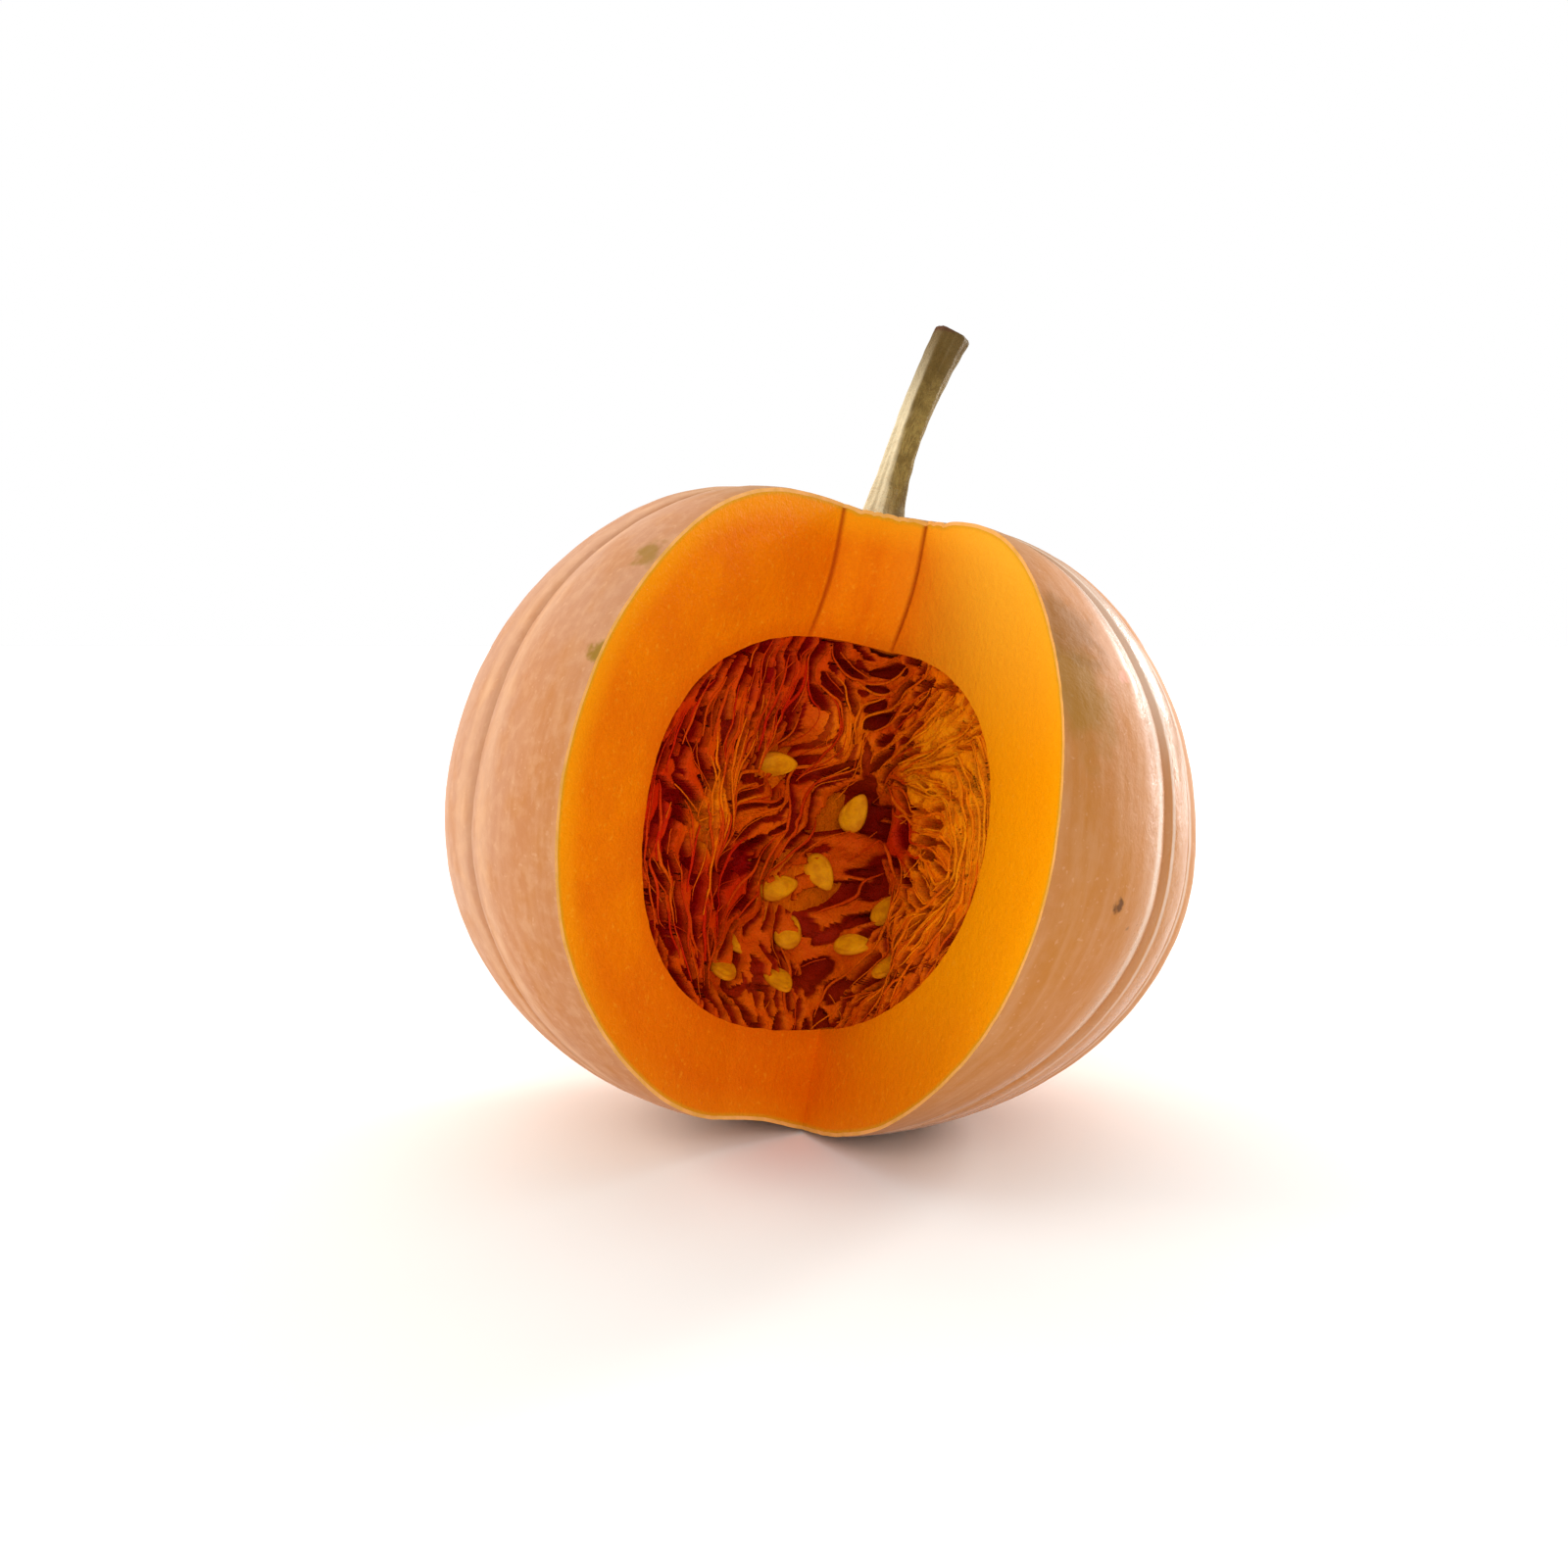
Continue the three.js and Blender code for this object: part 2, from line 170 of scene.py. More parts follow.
def roundBody(columns, rows, pointAt, azimuths=None):
    # an operator's sphere, with every vertex moved to pointAt(azimuth, polar)
    bm = bmesh.new()
    bmesh.ops.create_uvsphere(bm, u_segments=columns, v_segments=rows, radius=1)
    for v in bm.verts:
        polar = acos(clamp(v.co.z, -1, 1))
        azimuth = atan2(v.co.y, v.co.x) % (2 * pi)
        if azimuths:
            azimuth = azimuths[round(azimuth / (2 * pi) * columns) % columns]
        v.co = pointAt(azimuth, polar)
    return bm


ribs = []
starts = fruitForm["grooves"]
for start, following in zip(starts, starts[1:] + (starts[0] + 360,)):
    width = following - start
    ribs.append((start, width, fruitForm["leastDepth"] + fruitForm["depthPerDegree"] * width))


def ribColumns():
    # each rib gets its share of the columns, so that every groove lies on one
    azimuths, used = [], 0
    for start, width, depth in ribs:
        wanted = round((start + width - ribs[0][0]) / 360 * fruitForm["columns"]) - used
        used += wanted
        for i in range(wanted):
            t = i / wanted
            t -= fruitForm["crowding"] * sin(2 * pi * t)
            azimuths.append(radians(start + width * t))
    return azimuths


def grooveAt(azimuth):
    # depth of the groove there, and how near its bottom, from 0 on a crest to 1
    first = ribs[0][0]
    turned = (degrees(azimuth) - first + 1e-3) % 360 + first   # past the rounding at the rib's own start
    start, width, depth = [rib for rib in ribs if rib[0] <= turned][-1]
    across = sin(pi * (turned - start) / width)
    soft = fruitForm["valleySoftness"]
    near = 1 - ((across ** 2 + soft) / (1 + soft)) ** (fruitForm["crestRoundness"] / 2)
    return depth * near, near


def fruitPoint(azimuth, polar):
    form = fruitForm
    r, z = profile(polar, form)
    dip, spread = form["stemDimple"] if z > 0 else form["blossomDimple"]
    pressed = z - copysign(dip * exp(-(r / spread) ** 2), z)
    fade = abs(sin(polar)) ** (form["fadeAbove"] if z > 0 else form["fadeBelow"])
    scale = 1 - grooveAt(azimuth)[0] * fade / form["radius"]
    sag = form["sag"] * z * z / (form["sagEase"] - z) if z < 0 else 0
    return Vector((r * scale * cos(azimuth) - sag, r * scale * sin(azimuth), pressed * scale))


def skinPoint(azimuth, polar):
    # the fruit with the small unevenness of its skin
    form, point = fruitForm, fruitPoint(azimuth, polar)
    lumps = form["lumps"] * noise.noise(point / form["lumpSize"])
    pimples = form["pimples"] * noise.noise(point / form["pimpleSize"])
    r = hypot(point.x, point.y)
    dimple = exp(-(r / form["creaseReach"]) ** 2) if point.z > 0 else 0
    around = polarPoint(1, azimuth, r * form["creaseDrift"]) * form["creaseCount"] / form["creaseTurn"]
    creases = form["creases"] * dimple * ease(*form["creaseGrow"], r) * noise.noise(around)
    return point + point.normalized() * (lumps + pimples + creases)


def flatten(bm, height):
    # the underside is pressed flat where it rests
    for v in bm.verts:
        world = toWorld @ v.co
        if world.z < height:
            world.z = height
            v.co = toFruit @ world


skinBody = roundBody(fruitForm["columns"], fruitForm["rows"], skinPoint, ribColumns())
flatten(skinBody, 0)
innerBody = skinBody.copy()
innerBody.normal_update()
for v in innerBody.verts:
    v.co -= v.normal * fruitForm["skin"]
flatten(innerBody, fruitForm["skin"] / 1000)
print("stage: fruit shaped")


def addNode(tree, kind, inputs=None, **settings):
    made = tree.nodes.new(kind)
    for name, value in settings.items():
        setattr(made, name, value)
    for name, value in (inputs or {}).items():
        socket = made.inputs[name]
        if isinstance(value, bpy.types.NodeSocket):
            tree.links.new(value, socket)
        else:
            socket.default_value = value
    return made


def newGroup(name, output, numbers, vectors=""):
    tree = bpy.data.node_groups.new(name, "ShaderNodeTree")
    for kind, labels in (("NodeSocketVector", vectors), ("NodeSocketFloat", numbers)):
        for label in labels.split():
            tree.interface.new_socket(label, in_out="INPUT", socket_type=kind)
    tree.interface.new_socket(output, in_out="OUTPUT", socket_type="NodeSocketFloat")
    return tree, tree.nodes.new("NodeGroupInput").outputs, tree.nodes.new("NodeGroupOutput").inputs[0]


def maths(tree, operation, a, b=0.0):
    return addNode(tree, "ShaderNodeMath", {0: a, 1: b}, operation=operation).outputs[0]


def vector(tree, operation, *parts):
    # the second part of a scale is a number, on a socket of its own
    sockets = (0, "Scale") if operation == "SCALE" else (0, 1)
    node = addNode(tree, "ShaderNodeVectorMath", dict(zip(sockets, parts)), operation=operation)
    return node.outputs["Value" if operation in ("LENGTH", "DISTANCE") else "Vector"]


def combine(tree, x=0.0, y=0.0, z=0.0):
    return addNode(tree, "ShaderNodeCombineXYZ", {0: x, 1: y, 2: z}).outputs[0]


def separate(tree, place):
    return addNode(tree, "ShaderNodeSeparateXYZ", {0: place}).outputs


def blend(tree, kind, share, a, b):
    ends = {"Factor": share, "A": a, "B": b}
    return addNode(tree, "ShaderNodeMix", ends, data_type=kind).outputs["Result"]


def span(tree, value, low, high, toLow=0.0, toHigh=1.0, kind="SMOOTHSTEP"):
    ends = {"Value": value, "From Min": low, "From Max": high, "To Min": toLow, "To Max": toHigh}
    return addNode(tree, "ShaderNodeMapRange", ends, interpolation_type=kind).outputs[0]


def noiseAt(tree, place, size, detail, roughness=0.5):
    return addNode(tree, "ShaderNodeTexNoise", {
        "Vector": place, "Scale": maths(tree, "DIVIDE", 1.0, size), "Detail": detail,
        "Roughness": roughness}).outputs["Fac"]


def partPlace(tree):
    return addNode(tree, "ShaderNodeTexCoord").outputs["Object"]


def fruitPlace(tree):
    # object coordinates turned into the fruit's own frame, in metres
    return addNode(tree, "ShaderNodeMapping", {
        "Vector": partPlace(tree), "Location": Vector(attitude["centre"]) / 1000,
        "Rotation": turn.to_euler()}, vector_type="TEXTURE").outputs[0]


def patchesGroup():
    # blotches that can be drawn out along the ribs: Stretch 0 is round, 1 runs from pole to pole
    tree, given, result = newGroup("fruitPatches", "Mask", "Size Stretch Detail Low High Shift")
    reach, rise, roughness = 0.13, 0.12, 0.55   # how fast a drawn pattern changes round the fruit and up it
    local = fruitPlace(tree)
    x, y, z = separate(tree, local)
    ahead = vector(tree, "SCALE", vector(tree, "NORMALIZE", combine(tree, x, y)), reach)
    drawn = vector(tree, "ADD", ahead, combine(tree, z=maths(tree, "MULTIPLY", z, rise)))
    placed = vector(tree, "ADD", blend(tree, "VECTOR", given["Stretch"], local, drawn), given["Shift"])
    pattern = noiseAt(tree, placed, given["Size"], given["Detail"], roughness)
    tree.links.new(span(tree, pattern, given["Low"], given["High"]), result)
    return tree


def markGroup():
    # one ragged mark round Place, Wide across and Tall along Z
    tree, given, result = newGroup("mark", "Mask", "Wide Tall Ragged Grit", "Place")
    fullWithin = 0.35
    here = partPlace(tree)
    size = combine(tree, given["Wide"], given["Wide"], given["Tall"])
    away = vector(tree, "DIVIDE", vector(tree, "SUBTRACT", here, given["Place"]), size)
    ragged = maths(tree, "SUBTRACT", noiseAt(tree, here, given["Grit"], 2.0), 0.5)
    ragged = maths(tree, "MULTIPLY", maths(tree, "MULTIPLY", ragged, given["Ragged"]), 2.0)
    reach = maths(tree, "ADD", vector(tree, "LENGTH", away), ragged)
    tree.links.new(span(tree, reach, 1.0, fullWithin), result)
    return tree


def grainGroup():
    # fine unevenness for a bump, from -1 to 1
    tree, given, result = newGroup("surfaceGrain", "Height", "Size Detail")
    pattern = noiseAt(tree, partPlace(tree), given["Size"], given["Detail"])
    tree.links.new(maths(tree, "SUBTRACT", maths(tree, "MULTIPLY", pattern, 2.0), 1.0), result)
    return tree


def cornerShadeGroup():
    # painted shade: a thin line down one inner corner of the cut, which slides from Low to High above the
    # fruit's middle
    tree, given, result = newGroup("cornerShadeLine", "Mask", "Width From To", "Low High")
    x, y, z = separate(tree, fruitPlace(tree))
    twist = [height / 1000 for height in wedgeForm["twist"]]
    slid = maths(tree, "SINE", span(tree, z, *twist, 0.0, pi / 2, "LINEAR"))
    corner = blend(tree, "VECTOR", slid, given["Low"], given["High"])
    line = span(tree, vector(tree, "DISTANCE", combine(tree, x, y), corner), given["Width"], 0.0)
    tree.links.new(maths(tree, "MULTIPLY", line, span(tree, z, given["From"], given["To"])), result)
    return tree


patches, mark, grain, cornerShade = patchesGroup(), markGroup(), grainGroup(), cornerShadeGroup()


def useGroup(tree, group, **inputs):
    made = addNode(tree, "ShaderNodeGroup", node_tree=group)
    for name, value in inputs.items():
        made.inputs[name].default_value = value
    return made.outputs[0]


def newMaterial(name, look):
    # the look's constants on the shader's own sockets, and its patches by name
    material = bpy.data.materials.new(name)
    material.use_nodes = True
    tree = material.node_tree
    for label, value in look["shader"].items():
        tree.nodes["Principled BSDF"].inputs[label].default_value = value
    names, rows = ("Size", "Stretch", "Detail", "Low", "High", "Shift"), look.get("patches", {})
    values = {label: useGroup(tree, patches, **dict(zip(names, rows[label]))) for label in rows}
    return material, tree, values


def valueOf(tree, values, name):
    # besides patches: places in the fruit's frame, the height in the part's, and what the mesh carries
    if name not in values:
        if name in ("x", "y", "z"):
            values.update(zip("xyz", separate(tree, fruitPlace(tree))))
        elif name == "azimuth":
            values[name] = maths(tree, "ARCTAN2", valueOf(tree, values, "y"), valueOf(tree, values, "x"))
        elif name == "height":
            values[name] = separate(tree, partPlace(tree))[2]
        else:
            values[name] = addNode(tree, "ShaderNodeAttribute", attribute_name=name).outputs["Fac"]
    return values[name]


def maskOf(tree, values, *ramps):
    # the product of the ramps
    mask = None
    for name, *ends in ramps:
        value = valueOf(tree, values, name)
        value = span(tree, value, *ends) if ends else value
        mask = maths(tree, "MULTIPLY", mask, value) if mask else value
    return mask


def tint(tree, base, colour, mask, share):
    amount = maths(tree, "MULTIPLY", mask, share) if share != 1 else mask
    base = base if isinstance(base, bpy.types.NodeSocket) else linear(base)
    return blend(tree, "RGBA", amount, base, linear(colour))


def paint(tree, look, values, layers="layers"):
    base, *others = look[layers].values()
    colour = look[base]
    for name, share, *ramps in others:
        colour = tint(tree, colour, look[name], maskOf(tree, values, *ramps), share)
    return colour


def connect(tree, look, colour, rough):
    shader = tree.nodes["Principled BSDF"]
    tree.links.new(colour, shader.inputs["Base Color"])
    tree.links.new(rough, shader.inputs["Roughness"])
    normal = None
    for size, detail, distance in look["bumps"]:
        height = useGroup(tree, grain, Size=size, Detail=detail)
        bump = addNode(tree, "ShaderNodeBump", {"Height": height, "Distance": distance})
        if normal:
            tree.links.new(normal, bump.inputs["Normal"])
        normal = bump.outputs[0]
    tree.links.new(normal, shader.inputs["Normal"])


def paintedMaterial(name, look, layers="layers"):
    material, tree, values = newMaterial(name, look)
    colour = paint(tree, look, values, layers)
    connect(tree, look, colour, maskOf(tree, values, look["rough"]))
    return material


# How a look reads: colours are 0-255 and lengths metres. The first of the layers is a colour, and each other
# one lays a share of a colour over it, where the product of its ramps says. A ramp gives what it goes by,
# where it starts and where it is full, then its ends if they aren't 0 and 1. It goes by a patch, by x or z
# in the fruit's own frame, by azimuth in radians, by height in the part's frame, or by what the mesh
# carries. Patches are size, stretch, detail, low, high and shift, and bumps size, detail and distance.
rindLook = {
    "shader": {"Specular IOR Level": 0.28, "Sheen Weight": 0.09, "Sheen Roughness": 0.4},
    "tan": (184, 118, 52), "pink": (198, 130, 78), "bronze": (196, 123, 42), "pale": (230, 182, 142),
    "valley": (194, 146, 112), "shine": (248, 230, 212), "green": (150, 114, 16), "bloomAndSheen": (200, 152, 124),
    "olive": (140, 92, 24), "speck": (100, 54, 0), "nick": (226, 150, 116),
    "patches": {
        "broad": (0.055, 0.35, 3.0, 0.35, 0.65),
        "clouds": (0.012, 0.3, 5.0, 0.42, 0.7, 3.0),
        "streaks": (0.0045, 0.96, 4.0, 0.38, 0.72),
        "mottle": (0.005, 0.1, 7.0, 0.42, 0.7, 7.0),
        "freckles": (0.0022, 0.0, 1.0, 0.66, 0.76),
    },
    # the pale bloom on the left, the top and the left silhouette: partly the skin's waxy bloom, partly
    # painted sheen
    "bloomAndSheenSide": (("x", -0.02, -0.1), ("z", 0.0, 0.075)), "bloomAndSheenEdge": (("x", -0.094, -0.12),),
    "layers": {   # groove is 0 on a crest and 1 at the bottom
        "base": "tan",
        # paler pink towards the left: partly the skin's pink tone, partly painted light from the left
        "pinkAndPaintedLightLeft": ("pink", 1, ("x", 0.05, -0.11)),
        "bronzeSide": ("bronze", 0.85, ("x", 0.035, 0.1)),
        "pinkPatches": ("pink", 0.45, ("broad",)),
        "bloomAndSheen": ("bloomAndSheen", 0.65, ("bloomAndSheen",)),
        "clouds": ("bronze", 0.3, ("clouds",)),
        "streaks": ("pale", 0.18, ("streaks",)),
        "freckles": ("pale", 0.25, ("freckles",)),
        "mottle": ("pale", 0.25, ("mottle",), ("x", 0.06, -0.06, 0.3, 1.0)),
        # paler shoulders beside the grooves, fading out on the right: partly the skin's paler ridges, partly
        # painted highlight
        "shoulders": ("pale", 0.5, ("groove", 0.14, 0.3), ("groove", 0.6, 0.4),
                      ("clouds", 0.0, 1.0, 0.55, 1.1), ("x", 0.1, 0.03)),
        # painted highlight lines beside the grooves on the right ribs
        "shineLine": ("shine", 0.55, ("groove", 0.34, 0.46), ("groove", 0.66, 0.54),
                      ("azimuth", -0.58, -0.54), ("azimuth", -0.12, -0.26), ("z", -0.1, 0.03, 0.45, 1.0)),
        "valleys": ("valley", 0.5, ("groove", 0.5, 0.95)),
        # the glare is a painted highlight on the upper right ribs
        "glare": ("shine", 0.45, ("azimuth", -0.61, -0.53), ("azimuth", -0.33, -0.41),
                  ("z", 0.03, 0.07), ("z", 0.118, 0.095)),
        "greenTop": ("green", 0.35, ("z", 0.098, 0.118)),
    },
    "marks": (   # colour, place in the part's frame, wide, tall, ragged, grit, share
        ("green", (0.0782, -0.0905, 0.1785), 0.017, 0.046, 0.5, 0.012, 0.5),
        ("olive", (0.0765, -0.0735, 0.1925), 0.02, 0.02, 0.6, 0.008, 0.5),
        ("green", (-0.0812, -0.0913, 0.1877), 0.007, 0.0045, 0.6, 0.003, 0.9),
        ("green", (-0.0655, -0.065, 0.2155), 0.007, 0.014, 0.6, 0.004, 0.7),
        ("speck", (0.0921, -0.1011, 0.1026), 0.0036, 0.003, 1.0, 0.003, 0.9),
        ("speck", (0.096, -0.094, 0.093), 0.0016, 0.0012, 1.0, 0.003, 0.5),
        ("nick", (0.0956, -0.0660, 0.1748), 0.006, 0.003, 0.8, 0.003, 0.8),
    ),
    "waxed": (("azimuth", -0.64, -0.56), ("azimuth", -0.25, -0.29)),
    "mattRough": ("clouds", 0.0, 1.0, 0.62, 0.75), "waxedRough": ("clouds", 0.0, 1.0, 0.26, 0.34),
    "bumps": ((0.006, 2.0, 0.00018), (0.0011, 2.0, 0.00005)),
}


def rindMaterial():
    look = rindLook
    material, tree, values = newMaterial("rindSkin", look)
    # where the bloom lies, partly painted sheen: the left and top, and the left silhouette
    edges = [maskOf(tree, values, *look[name]) for name in ("bloomAndSheenSide", "bloomAndSheenEdge")]
    values["bloomAndSheen"] = maths(tree, "MAXIMUM", *edges)
    colour = paint(tree, look, values)
    for name, place, wide, tall, ragged, grit, share in look["marks"]:
        spot = useGroup(tree, mark, Place=place, Wide=wide, Tall=tall, Ragged=ragged, Grit=grit)
        colour = tint(tree, colour, look[name], spot, share)
    matt, smooth = [maskOf(tree, values, look[name]) for name in ("mattRough", "waxedRough")]
    connect(tree, look, colour, blend(tree, "FLOAT", maskOf(tree, values, *look["waxed"]), matt, smooth))
    return material


cutEdgeLook = {
    "shader": {"Specular IOR Level": 0.4},
    "edge": (250, 186, 104), "greenish": (214, 160, 30),
    "patches": {"blotch": (0.008, 0.0, 2.0, 0.35, 0.7)},
    "layers": {"base": "edge", "blotches": ("greenish", 0.5, ("blotch",))},
    "rough": ("blotch", 0.0, 1.0, 0.45, 0.6), "bumps": ((0.0008, 2.0, 0.00005),),
}
fleshLook = {
    "shader": {"Specular IOR Level": 0.06},
    # bright and top are the colours of painted light on the right cut face
    "flesh": (246, 132, 0), "deep": (224, 98, 0), "outer": (255, 160, 6), "bright": (255, 166, 0),
    "top": (255, 196, 60), "fleck": (255, 176, 40), "greenish": (214, 160, 30), "cornerShade": (168, 52, 0),
    "patches": {
        "cloud": (0.02, 0.2, 4.0, 0.35, 0.68),
        "speckle": (0.0021, 0.0, 2.0, 0.6, 0.74),
        "grainy": (0.0012, 0.0, 1.0, 0.4, 0.62, 5.0),
    },
    "layers": {   # cavityDepth and skinDepth are millimetres from the cavity and from the skin
        "base": "flesh",
        "clouds": ("deep", 0.42, ("cloud",)),
        "grain": ("deep", 0.2, ("grainy",)),
        "cavitySide": ("deep", 0.55, ("cavityDepth", 8.0, 0.0)),
        "skinSide": ("outer", 0.75, ("skinDepth", 13.0, 1.0)),
        # the right cut face painted brighter and yellower, palest at its top: painted light
        "paintedLightRightFace": ("bright", 0.7, ("x", 0.0, 0.05)),
        "paintedLightRightTop": ("top", 0.6, ("x", 0.0, 0.05), ("z", 0.02, 0.12)),
        # darker towards the bottom of the cut faces: painted shade
        "paintedShadeLow": ("deep", 0.6, ("z", -0.03, -0.1)),
        "speckles": ("fleck", 0.3, ("speckle",)),
        "rim": ("greenish", 0.7, ("skinDepth", 1.8, 0.1)),
    },
    "cornerShadeWidth": 0.0019, "cornerShadeHeight": (0.055, 0.075), "cornerShadeShare": 0.75,
    "rough": ("cloud", 0.0, 1.0, 0.4, 0.52), "bumps": ((0.0035, 3.0, 0.00025), (0.0009, 2.0, 0.00012)),
}


def fleshMaterial():
    look = fleshLook
    material, tree, values = newMaterial("cutFlesh", look)
    colour = paint(tree, look, values)
    bottom, full = look["cornerShadeHeight"]
    # painted shade down the inner corners where the long cuts meet the short one
    for corner, azimuth, slides in zip(wedgeForm["corners"], wedgeForm["azimuths"], wedgeForm["slides"]):
        low, high = [((Vector(corner) + heading(azimuth) * slide) / 1000).to_3d() for slide in slides]
        line = useGroup(tree, cornerShade, Low=low, High=high, Width=look["cornerShadeWidth"], From=bottom, To=full)
        colour = tint(tree, colour, look["cornerShade"], line, look["cornerShadeShare"])
    connect(tree, look, colour, maskOf(tree, values, look["rough"]))
    return material


rindSkin, cutFlesh = rindMaterial(), fleshMaterial()
rindEdge = paintedMaterial("rindCutEdge", cutEdgeLook)
print("stage: rind and flesh materials")


def wedgeCutter(margin, material, fine=True):
    # a sheet along both long cuts and the short one between them, thickened outwards to the front
    form = wedgeForm
    corners, ways = [Vector(corner) for corner in form["corners"]], [heading(a) for a in form["azimuths"]]
    normals = [heading(azimuth + side) for azimuth, side in zip(form["azimuths"], (-90, 90))]
    across = (corners[1] - corners[0]).normalized()
    tipNormal = Vector((-across.y, across.x))
    for corner, normal in zip(corners, normals):
        corner += (normal + tipNormal) * margin / (1 + normal.dot(tipNormal))
    far = [corner + way * form["reach"] for corner, way in zip(corners, ways)]
    along, tip = form["alongSteps"], form["tipSteps"]
    columns = 2 * along + tip
    bm = bmesh.new()
    place = bm.verts.layers.float.new("place")
    bmesh.ops.create_grid(bm, x_segments=columns, y_segments=form["levels"], size=1)
    for v in bm.verts:
        column, z = round((v.co.x + 1) / 2 * columns), v.co.y / 2 * form["height"]
        low, high = form["twist"]
        twist = sin(pi / 2 * clamp((z - low) / (high - low)))
        near = [corners[i] + ways[i] * mix(*form["slides"][i], twist) for i in (0, 1)]
        if column <= along:
            plan, outward = far[0].lerp(near[0], column / along), -normals[0]
        elif column >= along + tip:
            plan, outward = near[1].lerp(far[1], (column - along - tip) / along), -normals[1]
        else:
            plan, outward = near[0].lerp(near[1], (column - along) / tip), -tipNormal
        if fine and column not in (along, along + tip):
            marks = Vector((plan.length / form["markLength"], z / form["markHeight"], column > along))
            plan += outward * (form["knifeWaver"] * noise.noise(Vector((*plan, z)) / form["waverSize"])
                               + form["knifeMarks"] * noise.noise(marks))
        v.co = (*plan, z)
        v[place] = column / columns
    grown = bmesh.ops.extrude_face_region(bm, geom=bm.faces[:])["geom"]
    for v in verticesOf(grown):
        front = far[0].lerp(far[1], v[place])
        v.co = (front.x, front.y - form["ahead"], v.co.z)
    bm.verts.layers.float.remove(place)
    bmesh.ops.recalc_face_normals(bm, faces=bm.faces)
    return newPiece("wedge", bm, material)


def cavityCutter(name, inset, material, roughness=0.0):
    form = cavityForm

    def pointAt(azimuth, polar):
        r, z = profile(polar, form, inset)
        rise = form["floorRise"] * r * cos(azimuth - radians(form["floorAzimuth"]))
        point = polarPoint(r, azimuth, z * (1 - rise if z < 0 else 1) + form["centre"])
        return point * (1 + roughness * noise.noise(point / form["roughSize"]) / form["radius"])

    return newPiece(name, roundBody(form["columns"], form["rows"], pointAt), material)


rind, flesh = newPiece("rind", skinBody, rindSkin), newPiece("flesh", innerBody, rindSkin)
innerTree = treeOf(flesh)
wedge = wedgeCutter(0, rindEdge)
carve(rind, flesh)
carve(rind, wedge)
for piece in (flesh, wedge):
    piece.data.materials[0] = cutFlesh
cavity = cavityCutter("cavity", 0, cutFlesh, cavityForm["roughness"])
cavityTree = treeOf(cavity)
carve(flesh, wedge)
carve(flesh, cavity)
setValues(flesh.data, "skinDepth", nearness(innerTree, flesh))
setValues(flesh.data, "cavityDepth", nearness(cavityTree, flesh))


def grooveValue(point):
    return grooveAt(atan2(point.y, point.x))[1] * clamp(hypot(point.x, point.y) / fruitForm["grooveColour"])


setValues(rind.data, "groove", [grooveValue(v.co) for v in rind.data.vertices])
stand(rind, "fruit", fruitForm["sharpAngle"])
stand(flesh, "fruit", fruitForm["sharpAngle"])
discard(wedge, cavity)
print("stage: rind and flesh cut", len(rind.data.polygons), len(flesh.data.polygons))


stemForm = {
    "length": 71.5, "baseWidth": 13.2, "waistWidth": 10.9, "tipWidth": 13.2, "flareWidth": 5,
    "flareHeight": 6, "corners": 5, "cornerHeight": 0.08, "cornerShape": 1.5, "twist": 0.7, "ribs": 15,
    "ribHeight": 0.02, "ribTwist": 2, "startLean": 3, "bend": 15, "sunk": 4, "centre": (2.9, 6.5),
    "bumps": 0.05, "bumpSize": 5, "bumpRound": 2, "sides": 60, "steps": 84, "nearby": 0.01, "tipFrom": 0.97,
    "chamfer": 0.14, "chamferFrom": 0.985, "dish": 0.9,
    "dishRings": ((0.9, 0.1), (0.68, 0.5), (0.4, 0.9), (0.16, 1.0)),   # shares of the width and the dish
    "bleachedSide": (-1, -0.15, 0.2), "ridgeFrom": 0.55, "cutFrom": (0.985, 0.998), "sharpAngle": 50,
}
stemLook = {
    "shader": {"Specular IOR Level": 0.3},
    "bark": (160, 133, 68), "dark": (98, 74, 28), "cream": (240, 224, 186), "cut": (96, 60, 34),
    "patches": {
        "fibres": (0.0016, 0.8, 4.0, 0.42, 0.62),
        "blotch": (0.009, 0.0, 4.0, 0.4, 0.65, 2.0),
    },
    "layers": {   # the mesh carries ridge, how far each point faces the painted highlight's side, and cutEnd
        "base": "bark",
        "blotches": ("dark", 0.65, ("blotch",)),
        # paler ridges and darker furrows: partly the stem's own colouring, partly painted highlight and
        # painted shade
        "ridges": ("cream", 0.35, ("ridge", 0.45, 1.0)),
        "furrows": ("dark", 0.5, ("ridge", 0.35, 0.0)),
        "fibres": ("dark", 0.5, ("fibres",)),
        # a cream painted highlight on the side of the stem that faces left
        "bleachedSide": ("cream", 0.95, ("bleached", 0.1, 0.95)),
        "tip": ("dark", 0.95, ("height", 0.245, 0.286)),
        "cutEnd": ("cut", 0.95, ("cutEnd",)),
    },
    "rough": ("blotch", 0.0, 1.0, 0.62, 0.8), "bumps": ((0.003, 3.0, 0.0006), (0.0008, 2.0, 0.00025)),
}
stemWhole = stemForm["length"] + stemForm["sunk"]
stemFoot = fruitPoint(0, 0).z - stemForm["sunk"]


def stemAt(t):
    x, y = stemForm["centre"]
    lean = radians(stemForm["startLean"] + stemForm["bend"] * t / 2)
    return Vector((x + t * stemWhole * sin(lean), y, stemFoot + t * stemWhole * cos(lean)))


